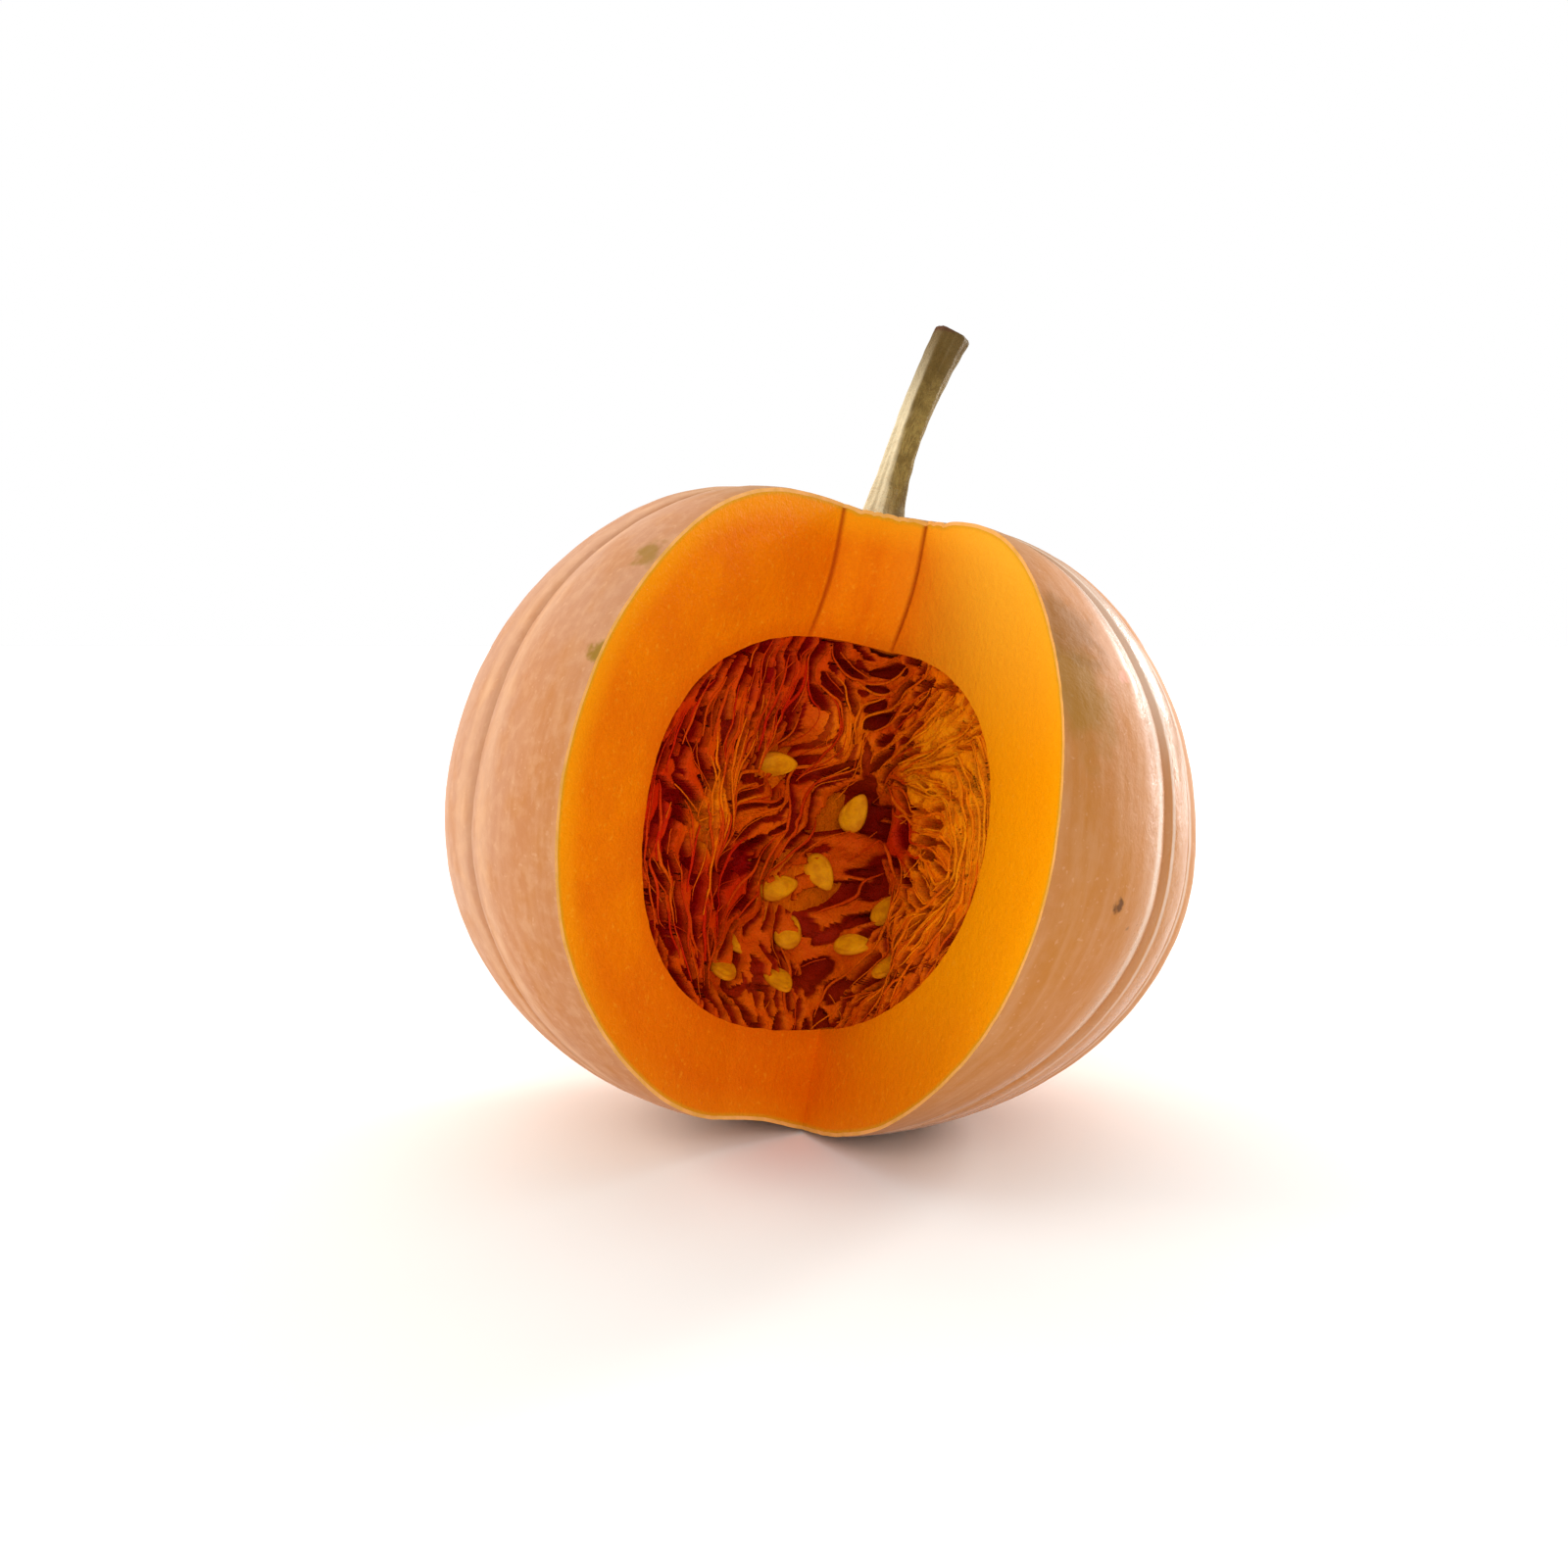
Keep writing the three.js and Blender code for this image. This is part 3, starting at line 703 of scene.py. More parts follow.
def stemRadius(t, angle):
    form = stemForm
    half = (form["waistWidth"] + (form["baseWidth"] - form["waistWidth"]) * (1 - 2 * min(t, 0.5)) ** 2
            + (form["tipWidth"] - form["waistWidth"]) * (2 * max(t, 0.5) - 1) ** 2
            + form["flareWidth"] * exp(-t * stemWhole / form["flareHeight"])) / 2
    ribbed = form["ribHeight"] * cos(form["ribs"] * angle + form["ribTwist"] * t)
    ridge = (1 + cos(form["corners"] * (angle + form["twist"] * t))) / 2   # 1 on the five main corners
    corner = form["cornerHeight"] * (2 * ridge ** form["cornerShape"] - 1)
    place = polarPoint(form["bumpRound"], angle, t * stemWhole / form["bumpSize"])
    bumps = form["bumps"] * noise.noise(place)
    return half * (1 + ribbed + corner + bumps) * (1 - form["chamfer"] * ease(form["chamferFrom"], 1, t))


def makeStem():
    # a ring carried up the path by extruding it, then closed at both ends and dished at the top
    form = stemForm
    bm = bmesh.new()
    place = bm.verts.layers.int.new("place")
    ring = bmesh.ops.create_circle(bm, segments=form["sides"], radius=1, cap_ends=False)["verts"]
    for i, v in enumerate(ring):
        v[place] = i
    first = edges = bm.edges[:]
    for step in range(form["steps"] + 1):
        if step:
            grown = bmesh.ops.extrude_edge_only(bm, edges=edges)["geom"]
            ring = verticesOf(grown)
            edges = [g for g in grown if isinstance(g, bmesh.types.BMEdge) and set(g.verts) <= set(ring)]
        t = step / form["steps"]
        tangent = stemAt(min(t + form["nearby"], 1)) - stemAt(max(t - form["nearby"], 0))
        across = Vector((0, 1, 0)).cross(tangent.normalized()).normalized()
        outward = across.cross(tangent.normalized())
        for v in ring:
            angle = 2 * pi * v[place] / form["sides"]
            v.co = stemAt(t) + (across * sin(angle) + outward * cos(angle)) * stemRadius(t, angle)
    for loop in (first, edges):
        bmesh.ops.edgeloop_fill(bm, edges=loop)
    bmesh.ops.recalc_face_normals(bm, faces=bm.faces)
    tip = max((f for f in bm.faces if len(f.verts) > 4), key=lambda f: f.calc_center_median().z)
    along = (stemAt(1) - stemAt(form["tipFrom"])).normalized()
    width = form["tipWidth"] / 2 * (1 - form["chamfer"])
    for share, dish in form["dishRings"]:
        bmesh.ops.inset_individual(bm, faces=[tip], thickness=0)
        centre = stemAt(1) - along * form["dish"] * dish
        for v in tip.verts:
            flat = v.co - stemAt(1)
            v.co = centre + (flat - along * flat.dot(along)).normalized() * width * share
    return newPiece("stemSkin", bm, paintedMaterial("stemSkin", stemLook))


stem = makeStem()
ridges, cutEnds = [], []
for v in stem.data.vertices:
    t = clamp((v.co.z - stemAt(0).z) / (stemAt(1).z - stemAt(0).z))
    ridges.append(clamp((v.co - stemAt(t)).length / (stemForm["waistWidth"] / 2) - stemForm["ridgeFrom"]))
    cutEnds.append(ease(*stemForm["cutFrom"], t))
# the painted highlight's share: how far each point faces left
bleachedSide = Vector(stemForm["bleachedSide"]).normalized()
setValues(stem.data, "bleached", [clamp(v.normal.dot(bleachedSide)) for v in stem.data.vertices])
setValues(stem.data, "ridge", ridges)
setValues(stem.data, "cutEnd", cutEnds)
stand(stem, "stem", stemForm["sharpAngle"])
print("stage: stem", len(stem.data.polygons))


seedForm = {
    "length": 15.5, "width": 9.6, "thickness": 2.8, "taper": 0.3, "lift": 1.6,
    "edgeShape": 0.75, "rimAt": 0.9, "rimWidth": 0.16, "rimRise": 0.1, "rimColour": (0.6, 0.4),
    "channelAt": 0.76, "channelWidth": 0.09, "channelDepth": 0.22, "uneven": 0.25, "unevenSize": 5,
    "columns": 48, "rows": 36, "sharpAngle": 50,
    # azimuth and polar angle on the hollow's wall, and how far each is turned
    "places": ((111, 69, 8), (74, 84, 70), (99, 110, 25), (83, 101, -50), (52, 108, 60), (113, 132, -20),
               (91, 124, 85), (60, 124, 10), (92, 148, -65), (132, 148, 40), (36, 130, 80)),
}
pulpForm = {
    "middle": (-3, -30, -2), "sideReach": 75, "depthReach": 58, "planShape": 1.5,
    "radius": 1, "upperHeight": 62, "lowerHeight": 66, "roundness": 2.3,   # radius is a share of the plan
    "furrowDepth": 0.03, "furrows": 11, "furrowSway": 2,
    "bulge": {"azimuth": 121, "polar": 88, "height": 0.26, "spread": 26},
    "wallBack": 24, "inset": 0.7, "lining": 2.4, "columns": 200, "rows": 110, "ridges": 2.6,
    "ridgeSize": (7, 7, 31.5), "fineRidges": (2.3, 0.5), "shadedWithin": 4, "shadeFade": 16, "sharpAngle": 60,
}
hollowMiddle = Vector(pulpForm["middle"])
cutAzimuths = wedgeForm["azimuths"]
leftCut, rightCut = [heading(azimuth) for azimuth in cutAzimuths]
tipLeft, tipRight = [Vector(wedgeForm["corners"][i]) + heading(cutAzimuths[i]) * wedgeForm["slides"][i][0]
                     for i in (0, 1)]
tipWidth = (tipRight - tipLeft).length
tipAzimuth = degrees(atan2(tipRight.y - tipLeft.y, tipRight.x - tipLeft.x))
inwardTurns = (cutAzimuths[0] - 90, tipAzimuth + 90, cutAzimuths[1] - 270)


def hollowPoint(azimuth, polar):
    form, bulge = pulpForm, pulpForm["bulge"]
    shape = form["planShape"]
    plan = ((abs(cos(azimuth)) / form["sideReach"]) ** shape
            + (abs(sin(azimuth)) / form["depthReach"]) ** shape) ** (-1 / shape)
    down = radians(bulge["polar"])
    bulgeWay = polarPoint(sin(down), radians(bulge["azimuth"]), cos(down))
    apart = acos(clamp(bulgeWay.dot(polarPoint(sin(polar), azimuth, cos(polar))), -1, 1))
    away = apart / radians(bulge["spread"])
    wave = sin(form["furrows"] * azimuth + form["furrowSway"] * sin(2 * polar)) * sin(polar)
    scale = 1 + form["furrowDepth"] * wave - bulge["height"] * exp(-away * away)
    share, z = profile(polar, form)
    return polarPoint(plan * share, azimuth, z) * scale + hollowMiddle


def seedMatrix(azimuth, polar, turned):
    wall = hollowPoint(radians(azimuth), radians(polar))
    facing = (hollowMiddle - wall).normalized()
    level = Vector((0, 0, 1)).cross(facing).normalized()
    rows = Matrix((level, facing.cross(level), facing)).transposed().to_4x4()
    spin = Matrix.Rotation(radians(turned), 4, "Z")
    return Matrix.Translation(wall + facing * seedForm["lift"]) @ rows @ spin


def ridgedHollow(azimuth, polar):
    # the hollow's wall with fibrous ridges that run down it
    point = hollowPoint(azimuth, polar)
    out = (point - hollowMiddle).normalized()
    down = Vector([c / size for c, size in zip(point, pulpForm["ridgeSize"])])
    finer, share = pulpForm["fineRidges"]
    ridge = noise.noise(down) + share * noise.noise(down * finer + Vector((7, 3, 1)))
    return point + out * pulpForm["ridges"] * ridge


pulpLook = {
    "shader": {"Specular IOR Level": 0.06},
    # the darkest red is painted shade in the gaps and deep in the hollow, and also tints the wall's clouds
    "pitShadeAndCloud": (150, 5, 1), "red": (200, 22, 0), "orange": (255, 132, 0), "pale": (255, 158, 6),
    "patches": {
        "cloud": (0.007, 0.0, 4.0, 0.36, 0.66, 1.0),
        "stringy": (0.0016, 0.75, 3.0, 0.4, 0.66),
    },
    "netLayers": {   # proud is a strand's brightness, partly painted light; sunk is how far into a gap, painted as shade
        "base": "red",
        "strands": ("orange", 1, ("proud", 0.1, 1.0)),
        # the palest strands, where the net is brightest: partly pale fibres, partly painted light
        "paleStrands": ("pale", 0.8, ("proud", 0.85, 1.25)),
        "clouds": ("red", 0.25, ("cloud",)),
        # painted shade in the gaps between strands, less where the net is bright
        "gaps": ("pitShadeAndCloud", 1, ("sunk", 0.02, 0.5), ("proud", 1.3, 0.3)),
    },
    "wallLayers": {   # proud is how far the wall is from the flesh; near the flesh the wall is painted dark, as shade
        "base": "pitShadeAndCloud",
        "paintedShadeNearFlesh": ("red", 1, ("proud", 0.02, 0.4)),
        "farther": ("orange", 0.7, ("proud", 0.4, 0.8)),
        "strings": ("orange", 0.35, ("stringy",)),
        "clouds": ("pitShadeAndCloud", 0.25, ("cloud",)),
    },
    "rough": ("cloud", 0.0, 1.0, 0.3, 0.45), "bumps": ((0.0022, 3.0, 0.0005), (0.0007, 2.0, 0.0002)),
}
pulpFlesh = paintedMaterial("pulpFlesh", pulpLook, "wallLayers")
netFlesh = paintedMaterial("netFlesh", pulpLook, "netLayers")


def makeWall():
    # the spongy lining that carries the net, far behind the cuts
    form = pulpForm
    wall = cavityCutter("pulpWall", form["inset"], pulpFlesh)
    hollow = newPiece("hollow", roundBody(form["columns"], form["rows"], ridgedHollow), pulpFlesh)
    bounds = cavityCutter("bounds", form["lining"], pulpFlesh)
    notch = wedgeCutter(form["wallBack"], pulpFlesh, fine=False)
    carve(hollow, bounds, "INTERSECT")
    carve(wall, hollow)
    carve(wall, notch)
    discard(hollow, bounds, notch)
    # painted shade: the nearer the wall lies to the flesh, deep in the hollow, the darker it is painted
    proud = [clamp((gap - form["shadedWithin"]) / form["shadeFade"]) for gap in nearness(cavityTree, wall)]
    setValues(wall.data, "proud", proud)
    stand(wall, "pulp", form["sharpAngle"])
    print("stage: pulp wall", len(wall.data.polygons))


makeWall()


# The torn pulp close behind the cuts is one net of strands with gaps torn between them. s runs in along the
# left cut, across the tip and out along the right cut, and is zero at the left corner.
netForm = {
    "seed": 733, "cell": 0.75, "span": (-106, 138), "heights": (-84, 76), "past": 3, "bend": 9,
    "thickness": 5, "rimDepth": 0.8, "rimReach": (-1, 8), "warp": 0.9, "warpSize": 5, "swell": 1.3,
    "swellSize": 9, "sharpAngle": 80,
    # s, height, strands' direction, gaps' half length and width, depth behind the cut, brightness: partly
    # own tone, partly painted light
    "regions": (
        (-54, 24, 76, 10, 2.6, 2.5, 0.30), (-61, -6, 95, 12, 3.2, 2, 0.20), (-44, 6, -30, 12, 2.6, 4, 0.35),
        (-55, -30, -56, 11, 3.0, 3, 0.40), (-24, -30, 84, 10, 4.0, 7, 0.25), (-22, 51, 86, 8, 2.4, 3, 0.35),
        (-12, 48, 90, 9, 2.2, 4, 0.35), (4, 52, 82, 8, 2.5, 5, 0.35), (20, 50, -32, 6, 2.6, 4, 0.45),
        (-27, 31, 93, 8, 1.9, 5, 0.50), (6.5, 31, 95, 8, 1.8, 10, 0.42), (17, 20, 56, 11, 1.7, 15, 0.42),
        (1.4, 2, 17, 9, 1.7, 13, 0.55), (-3, -21, 51, 10, 3.2, 12, 0.25), (29, 36, 99, 5, 0.7, 1.6, 0.75),
        (-21, -5, 103, 6, 1.1, 6, 0.90), (-31, -37, -59, 9, 2.8, 6, 0.35), (-44, 46, 51, 7, 2.1, 2.5, 0.40),
        (43, 42, 29, 4.5, 2.2, 4, 0.45), (60, 49, 22, 5, 1.8, 2.5, 0.60), (81, 57, 34, 4, 1.5, 1.6, 0.85),
        (76, 24, 6, 10, 0.8, 1.3, 1.30), (82, 43, 35, 10, 0.9, 1.3, 1.25), (61, 0, -28, 7, 3.4, 5, 0.25),
        (84, 3, 5, 6, 1.5, 2, 0.95), (89, -11, -34, 6, 1.8, 2, 0.85), (108, 14, -53, 7, 0.9, 1.5, 1.15),
        (122, -4, -82, 7, 0.9, 1.2, 1.15), (103, -23, 40, 8, 1.3, 2, 0.90), (110, -35, 46, 7, 1.8, 2, 0.60),
        (-40, -58, -60, 9, 2.4, 3, 0.45), (20, -20, 80, 8, 2.0, 15, 0.50), (22, -46, 90, 7, 2.2, 13, 0.50),
        (20, -66, 90, 5, 2, 3, 0.55), (50, -20, 60, 6, 2, 7, 0.50), (60, -45, 50, 6, 2, 4, 0.60),
        (85, -45, 45, 5, 2, 2.5, 0.65),
    ),
    "regionReach": 16,   # the square of the distance within which a region has its full weight
    # the largest gaps: s, height, direction, half length, half width
    "holes": ((20, 50, -32, 7.5, 3.6), (65, 2, -28, 9, 6.5), (-3, -22, 51, 11, 4), (-24, -32, 84, 10, 4.4)),
    # the others: tries, sizes from first to last, the narrowest, and the strand that is left between two
    "tries": 12000, "outside": -2, "sizes": (1.3, 0.5), "sizeSpread": (0.8, 1.2), "turnSpread": 0.22,
    "least": 0.5, "strand": 0.45, "closeness": 0.72, "leastGaps": 0.45, "fewerWhenBright": 1.35, "block": 12,
    "lens": 0.8, "softness": 0.72, "gapEnds": 0.5, "gapDepth": (2.2, 1.4, 9),   # per width, power, most
    "bedReach": 9, "bedDepth": 1.2, "bedLimit": 26, "bedClear": 4.5, "bedFull": 1.6, "bedFaint": 0.01,
    "bedSearch": (-80, 200),   # half millimetres along the cuts
    # strands and bridges lie over the net, and points is for both
    "strands": 420, "leastStrands": 0.15, "points": 15, "stride": 1.7, "strandRadius": (0.2, 0.8),
    "raised": 0.25, "sway": 0.5, "swaySize": 4, "startInside": 1, "endOutside": -1, "thinEnds": 0.35,
    "bridges": 90, "bridgeRadius": (0.15, 0.35), "bridgeSpan": (7, 20), "bridgeTurn": 0.5,
    "bridgeSway": 0.8, "bridgeSag": 1.2, "bridgePaler": 0.1, "shadeSpread": (-0.2, 0.15), "palest": 1.3,
    "gapEdge": 0.95,
}
dice = random.Random(netForm["seed"])


def anywhere():
    return dice.uniform(*netForm["span"]), dice.uniform(*netForm["heights"])


def cutPlace(s, z, depth):
    if s < 0:
        plan = tipLeft - leftCut * s
    elif s < tipWidth:
        plan = tipLeft.lerp(tipRight, s / tipWidth)
    else:
        plan = tipRight + rightCut * (s - tipWidth)
    bend = netForm["bend"]
    turned = mix(inwardTurns[0], inwardTurns[1], ease(-bend, bend, s))
    turned = mix(turned, inwardTurns[2], ease(tipWidth - bend, tipWidth + bend, s))
    return Vector((*(plan + heading(turned) * depth), z))


def rimDistance(s, z):
    # how far a place on the cut faces is inside the cavity, which is less than zero in the flesh
    form, place = cavityForm, cutPlace(s, z, 0)
    height = form["upperHeight"] if place.z > form["centre"] else form["lowerHeight"]
    power = form["roundness"]
    side, rise = place.xy.length / form["radius"], abs(place.z - form["centre"]) / height
    return (1 - (side ** power + rise ** power) ** (1 / power)) * height


def regionAt(s, z):
    # direction, gap sizes, depth and brightness, blended from the nearest regions
    total, sums = 0, [0] * 6
    for x, y, direction, *rest in netForm["regions"]:
        weight = 1 / ((s - x) ** 2 + (z - y) ** 2 + netForm["regionReach"]) ** 2
        total += weight
        turned = radians(2 * direction)
        for n, value in enumerate((cos(turned), sin(turned), *rest)):
            sums[n] += weight * value
    direction = atan2(sums[1], sums[0]) / 2
    return (cos(direction), sin(direction), *[value / total for value in sums[2:]])


def seedBeds():
    # where the net dips behind a seed: s, height and depth of each seed's middle
    found = []
    for place in seedForm["places"]:
        middle = seedMatrix(*place).translation
        nearest = []
        for step in range(*netForm["bedSearch"]):
            base = cutPlace(step / 2, middle.z, 0)
            inward = cutPlace(step / 2, middle.z, 1) - base
            depth = (middle - base).dot(inward)
            nearest.append(((middle - base - inward * depth).length, step / 2, depth))
        _, s, depth = min(nearest)
        if 0 < depth < netForm["bedLimit"]:
            found.append((s, middle.z, depth))
    return found


beds = seedBeds()


def nearBed(s, z):
    return any(hypot(s - x, z - y) < netForm["bedClear"] for x, y, depth in beds)


def gapsNear(gaps, s, z):
    return gaps.get((round(s / netForm["block"]), round(z / netForm["block"])), ())


def addGap(gaps, gap):
    column, row = [round(c / netForm["block"]) for c in gap[:2]]
    for i in (column - 1, column, column + 1):
        for j in (row - 1, row, row + 1):
            gaps.setdefault((i, j), []).append(gap)


def inGap(gap, s, z):
    # along and across the gap, and its half width there
    x, y, alongX, alongZ, length, width = gap
    u = (s - x) * alongX + (z - y) * alongZ
    v = (z - y) * alongX - (s - x) * alongZ
    return u, v, width * max(0, 1 - (u / length) ** 2) ** netForm["lens"]


def tooClose(gap, other):
    u, v, _ = inGap(gap, other[0], other[1])
    along, across = u / (gap[4] + other[4]), v / (gap[5] + other[5] + netForm["strand"])
    return along ** 2 + across ** 2 < netForm["closeness"]


def makeGaps():
    # lens-shaped gaps, the large ones first, that keep a strand's width apart
    form = netForm
    gaps = {}
    for s, z, direction, length, width in form["holes"]:
        turned = radians(direction)
        addGap(gaps, (s, z, cos(turned), sin(turned), length, width))
    for k in range(form["tries"]):
        s, z = anywhere()
        size = mix(*form["sizes"], k / form["tries"]) * dice.uniform(*form["sizeSpread"])
        if rimDistance(s, z) < form["outside"] or nearBed(s, z):
            continue
        alongX, alongZ, length, width, _, bright = regionAt(s, z)
        if width * size < form["least"]:
            continue
        if dice.random() > max(form["fewerWhenBright"] - bright, form["leastGaps"]):
            continue
        turned = dice.gauss(0, form["turnSpread"])
        alongX, alongZ = (alongX * cos(turned) - alongZ * sin(turned),
                          alongZ * cos(turned) + alongX * sin(turned))
        gap = (s, z, alongX, alongZ, length * size, width * size)
        if not any(tooClose(gap, other) for other in gapsNear(gaps, s, z)):
            addGap(gaps, gap)
    return gaps


gaps = makeGaps()


def netPlace(s, z):
    # depth behind the cut with and without the gaps, how far into a gap, and brightness
    form = netForm
    drift = Vector((s / form["warpSize"], z / form["warpSize"], 0))
    x, y = s + form["warp"] * noise.noise(drift), z + form["warp"] * noise.noise(drift + Vector((40, 0, 0)))
    depth, bright = regionAt(s, z)[4:]
    depth += form["swell"] * noise.noise(Vector((s, z, 9)) / form["swellSize"])
    depth = mix(form["rimDepth"], max(depth, form["rimDepth"]), ease(*form["rimReach"], rimDistance(s, z)))
    for bedS, bedZ, bedDepth in beds:
        near = exp(-((s - bedS) ** 2 + (z - bedZ) ** 2) / form["bedReach"] ** 2)
        if near > form["bedFaint"]:
            depth = mix(depth, bedDepth + form["bedDepth"], min(1, form["bedFull"] * near))
    sunk, low = 0, 0
    perWidth, power, most = form["gapDepth"]
    for gap in gapsNear(gaps, x, y):
        u, v, width = inGap(gap, x, y)
        if abs(v) < width:
            share = 1 - ease(form["softness"], 1, abs(v) / width)
            share *= ease(0, form["gapEnds"], width / gap[5])
            if share > sunk:
                sunk, low = share, min(perWidth * gap[5] ** power, most)
    return depth + sunk * low, depth, sunk, bright


def makeNet():
    # a grid cut back to the cavity, laid behind the cuts and thickened away from them
    form = netForm
    columns, rows = [round((high - low) / form["cell"]) for low, high in (form["span"], form["heights"])]
    bm = bmesh.new()
    floats = bm.verts.layers.float
    names = ("alongCuts", "height", "depth", "sunk", "proud")
    for name in names:
        floats.new(name)
    layers = [floats[name] for name in names]
    bmesh.ops.create_grid(bm, x_segments=columns, y_segments=rows, size=1)
    outside = []
    for v in bm.verts:
        s = form["span"][0] + round((v.co.x + 1) / 2 * columns) * form["cell"]
        z = form["heights"][0] + round((v.co.y + 1) / 2 * rows) * form["cell"]
        if rimDistance(s, z) > -form["past"]:
            depth, _, sunk, bright = netPlace(s, z)
            for layer, value in zip(layers, (s, z, depth, sunk, bright)):
                v[layer] = value
            v.co = cutPlace(s, z, depth)
        else:
            outside.append(v)
    bmesh.ops.delete(bm, geom=outside, context="VERTS")
    bmesh.ops.delete(bm, geom=[v for v in bm.verts if not v.link_faces], context="VERTS")
    grown = bmesh.ops.extrude_face_region(bm, geom=bm.faces[:])["geom"]
    for v in verticesOf(grown):
        v.co = cutPlace(v[layers[0]], v[layers[1]], v[layers[2]] + form["thickness"])
    bmesh.ops.recalc_face_normals(bm, faces=bm.faces)
    for name in names[:3]:
        floats.remove(floats[name])
    net = newPiece("net", bm, netFlesh)
    stand(net, "pulp", form["sharpAngle"])
    print("stage: net", len(net.data.polygons), "faces")


def asideOfGaps(s, z):
    for gap in gapsNear(gaps, s, z):
        u, v, width = inGap(gap, s, z)
        edge = width * netForm["gapEdge"]
        if abs(v) < edge:
            v = copysign(edge, v)
            s, z = gap[0] + u * gap[2] - v * gap[3], gap[1] + u * gap[3] + v * gap[2]
    return s, z


def strandPath(radius):
    # follows the net's own direction and steps round its gaps
    form = netForm
    s, z = anywhere()
    if rimDistance(s, z) < form["startInside"]:
        return None
    way = dice.choice((-1, 1))
    ahead, path = None, []
    for n in range(form["points"]):
        alongX, alongZ = regionAt(s, z)[:2]
        here = Vector((alongX, alongZ))
        if (ahead or here * way).dot(here) < 0:
            alongX, alongZ = -alongX, -alongZ
        ahead = Vector((alongX, alongZ))
        size = form["swaySize"]
        s += form["stride"] * alongX + form["sway"] * noise.noise(Vector((s / size, z / size, 3)))
        z += form["stride"] * alongZ + form["sway"] * noise.noise(Vector((s / size, z / size, 8)))
        s, z = asideOfGaps(s, z)
        if rimDistance(s, z) < form["endOutside"] or nearBed(s, z):
            break
        depth, bright = netPlace(s, z)[1::2]
        if n == 0 and dice.random() > form["leastStrands"] + bright:
            return None
        place = cutPlace(s, z, depth - form["raised"])
        if path and (place - path[-1][0]).length < radius:
            break
        path.append((place, radius * mix(form["thinEnds"], 1, sin(pi * (n + 0.5) / form["points"]))))
    return (path, bright) if len(path) == form["points"] else None


def bridgePath(radius):
    # a thin strand that crosses the gaps
    form = netForm
    s, z = anywhere()
    alongX, alongZ = regionAt(s, z)[:2]
    turned = atan2(alongZ, alongX) + dice.gauss(0, form["bridgeTurn"])
    length = dice.uniform(*form["bridgeSpan"])
    path = []
    for n in range(form["points"]):
        t = n / (form["points"] - 1) - 0.5
        x, y = s + length * t * cos(turned), z + length * t * sin(turned)
        x += form["bridgeSway"] * noise.noise(Vector((x, y, 5)) / form["swaySize"])
        if rimDistance(x, y) < 0 or nearBed(x, y):
            return None
        depth, bright = netPlace(x, y)[1::2]
        path.append((cutPlace(x, y, depth + form["bridgeSag"] * (0.25 - t * t)), radius))
    return path, bright


def strandMesh(paths):
    # paths are lists of (place, radius); one closed tube each
    curve = bpy.data.curves.new("strands", "CURVE")
    curve.dimensions, curve.bevel_depth, curve.bevel_resolution = "3D", 1, 0
    curve.use_fill_caps = True
    for path in paths:
        spline = curve.splines.new("NURBS")
        spline.points.add(len(path) - 1)
        spline.points.foreach_set("co", [c for place, radius in path for c in (*place, 1)])
        spline.points.foreach_set("radius", [radius for place, radius in path])
        spline.order_u, spline.use_endpoint_u, spline.resolution_u = 4, True, 1
    holder = newObject("strands", curve)
    mesh = bpy.data.meshes.new_from_object(holder.evaluated_get(bpy.context.evaluated_depsgraph_get()))
    discard(holder)
    return mesh


def makeStrands():
    form = netForm
    shaded = {}
    kinds = ((strandPath, form["strands"], form["strandRadius"], 0.0),
             (bridgePath, form["bridges"], form["bridgeRadius"], form["bridgePaler"]))
    for makePath, wanted, radii, paler in kinds:
        while wanted:
            made = makePath(mix(*radii, dice.random() ** 2))   # squared, so that most are thin
            if made:
                path, bright = made
                shade = clamp(bright + dice.uniform(*form["shadeSpread"]) + paler, 0, form["palest"])
                shaded.setdefault(round(shade, 1), []).append(path)
                wanted -= 1
    bm = bmesh.new()
    for shade, paths in shaded.items():
        mesh = strandMesh(paths)
        setValues(mesh, "proud", [shade] * len(mesh.vertices))
        bm.from_mesh(mesh)
        bpy.data.meshes.remove(mesh)
    piece = newPiece("netStrands", bm, netFlesh)
    stand(piece, "pulp")
    print("stage: strands", form["strands"] + form["bridges"], len(piece.data.polygons))


makeNet()
makeStrands()


seedLook = {
    "shader": {"Specular IOR Level": 0.05},
    "coat": (244, 160, 8), "rim": (216, 126, 6), "dirt": (186, 84, 4),
    "patches": {"blotch": (0.004, 0.0, 3.0, 0.4, 0.66, 4.0)},
    "layers": {
        "base": "coat", "rim": ("rim", 0.7, ("rim", 0.3, 0.9)), "blotches": ("dirt", 0.4, ("blotch",)),
    },
    "rough": ("blotch", 0.0, 1.0, 0.25, 0.4), "bumps": ((0.0009, 2.0, 0.00012),),
}


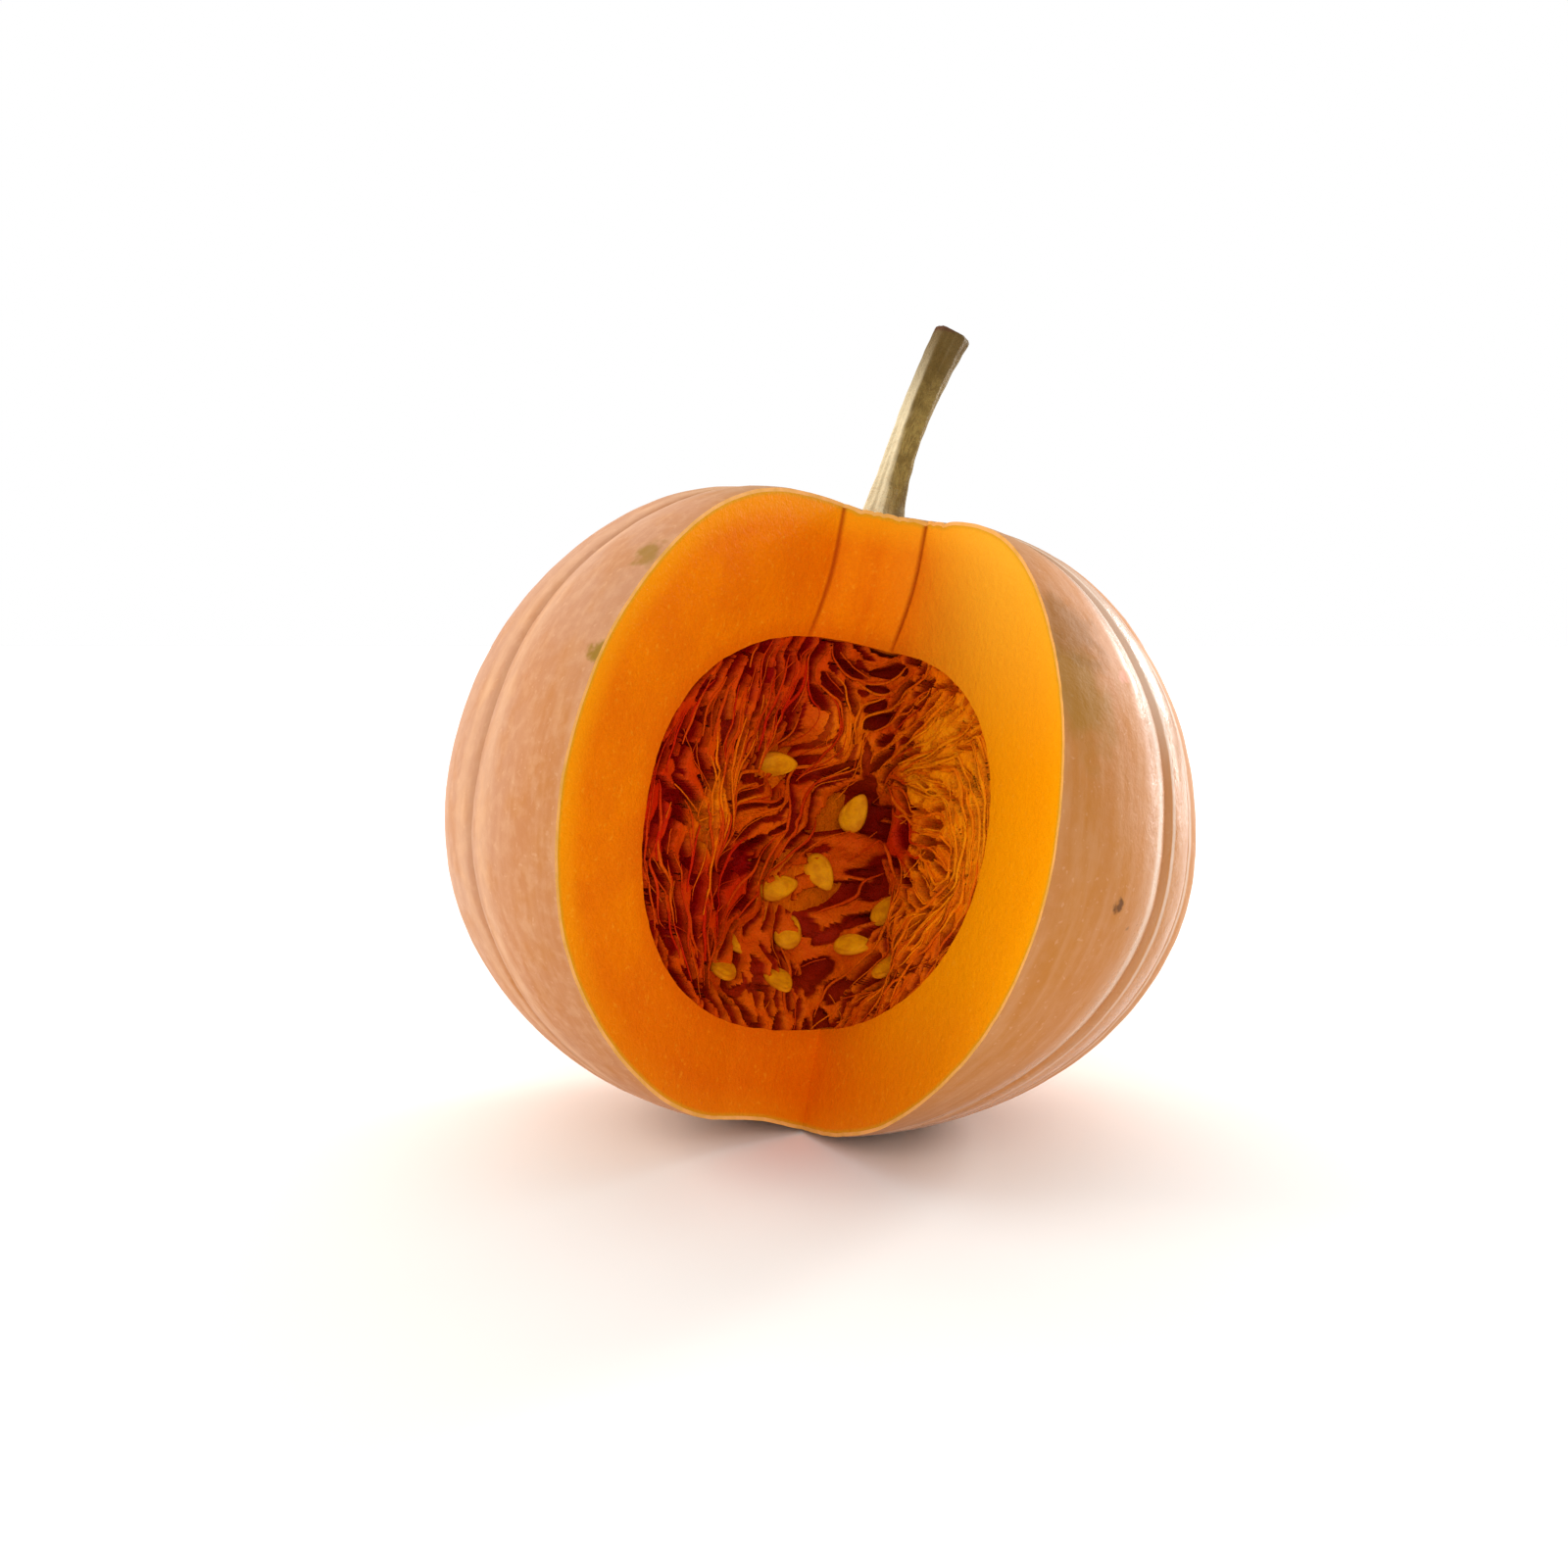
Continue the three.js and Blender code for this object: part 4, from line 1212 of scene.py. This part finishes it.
def makeSeed(number, place, material):
    form, size = seedForm, seedForm["unevenSize"]

    def pointAt(azimuth, polar):
        # a flat face, then a shallow channel inside the raised rim
        along, across = cos(polar), sin(polar)
        taper = 1 - form["taper"] * along
        x, y = form["length"] / 2 * along, form["width"] / 2 * across * taper * cos(azimuth)
        out = hypot(along, across * cos(azimuth))
        rim = exp(-((out - form["rimAt"]) / form["rimWidth"]) ** 2)
        full = abs(sin(azimuth)) ** form["edgeShape"] * across ** form["edgeShape"]
        channel = 1 - form["channelDepth"] * exp(-((out - form["channelAt"]) / form["channelWidth"]) ** 2)
        thick = form["thickness"] / 2 * full * taper ** 0.5 * channel * (1 + form["rimRise"] * rim)
        uneven = form["uneven"] * noise.noise(Vector((x, y, number * size)) / size)
        return Vector((x, y, copysign(thick, sin(azimuth)) + uneven))

    seed = newPiece(f"seedCoat_{number:02d}", roundBody(form["columns"], form["rows"], pointAt), material)
    start, width = form["rimColour"]
    out = [hypot(v.co.x / (form["length"] / 2), v.co.y / (form["width"] / 2)) for v in seed.data.vertices]
    setValues(seed.data, "rim", [clamp((o - start) / width) for o in out])
    seed.data.transform(seedMatrix(*place))
    stand(seed, f"seed_{number:02d}", form["sharpAngle"])


seedCoat = paintedMaterial("seedCoat", seedLook)
for number, place in enumerate(seedForm["places"], 1):
    makeSeed(number, place, seedCoat)
print("stage: seeds")


studio = {
    "floorSize": 1.0, "surround": 0.55, "backdrop": 1.0, "aim": (0.0, 0.0, 0.11), "floor": {
        "shader": {"Base Color": linear((250, 249, 247)), "Roughness": 0.9, "Specular IOR Level": 0.2}},
    "lamps": (   # name, place, width and height in metres, watts, colour, whether it leaves a highlight
        ("leftKey", (-1.35, 0.0, 0.8), 0.5, 0.9, 8, (255, 246, 232), False),
        ("leftBack", (-1.07, 0.82, 0.4), 0.3, 0.6, 5, (255, 250, 242), False),
        ("frontFill", (0.1, -1.9, 0.9), 1.4, 1.4, 11, (255, 250, 244), False),
        ("rightBack", (1.0, 0.93, 0.5), 0.2, 0.35, 11, (255, 255, 255), True),
        ("rightSide", (1.22, 0.72, 0.16), 0.1, 0.3, 3, (255, 255, 255), True),
        ("topSoft", (0.0, 0.3, 1.7), 1.6, 1.6, 5, (255, 252, 246), False),
        ("floorWash", (0.0, 1.3, 1.2), 2.6, 0.6, 14, (255, 255, 255), False),
    ),
}
cameraView = {"place": (-0.0201, -1.2796, 0.3951), "tilt": 78, "lens": 82.98, "sensor": 36, "farthest": 50}


def addLamp(name, place, width, height, watts, colour, shines):
    light = bpy.data.lights.new(name, "AREA")
    light.shape, light.size, light.size_y = "RECTANGLE", width, height
    light.energy, light.color = watts, linear(colour)[:3]
    lamp = newObject(name, light)
    lamp.location, lamp.visible_glossy = place, shines
    lamp.rotation_euler = (Vector(studio["aim"]) - Vector(place)).to_track_quat("-Z", "Y").to_euler()


def addFloor():
    bm = bmesh.new()
    bmesh.ops.create_grid(bm, x_segments=1, y_segments=1, size=studio["floorSize"])
    newPiece("floor", bm, newMaterial("paleFloor", studio["floor"])[0])


def addWorld():
    world = bpy.data.worlds.new("studio")
    bpy.context.scene.world = world
    world.use_nodes = True
    tree = world.node_tree
    seen = addNode(tree, "ShaderNodeLightPath").outputs["Is Camera Ray"]
    strength = span(tree, seen, 0.0, 1.0, studio["surround"], studio["backdrop"])
    tree.links.new(strength, tree.nodes["Background"].inputs["Strength"])
    tree.nodes["Background"].inputs["Color"].default_value = (1, 1, 1, 1)


def addCamera():
    view, lens = cameraView, bpy.data.cameras.new("camera")
    lens.lens, lens.sensor_width, lens.clip_end = view["lens"], view["sensor"], view["farthest"]
    camera = newObject("camera", lens)
    camera.location, camera.rotation_euler = view["place"], (radians(view["tilt"]), 0, 0)
    bpy.context.scene.camera = camera


for lamp in studio["lamps"]:
    addLamp(*lamp)
addFloor()
addWorld()
addCamera()
bpy.context.scene.view_settings.view_transform = "Standard"
print("stage: floor, light and camera")
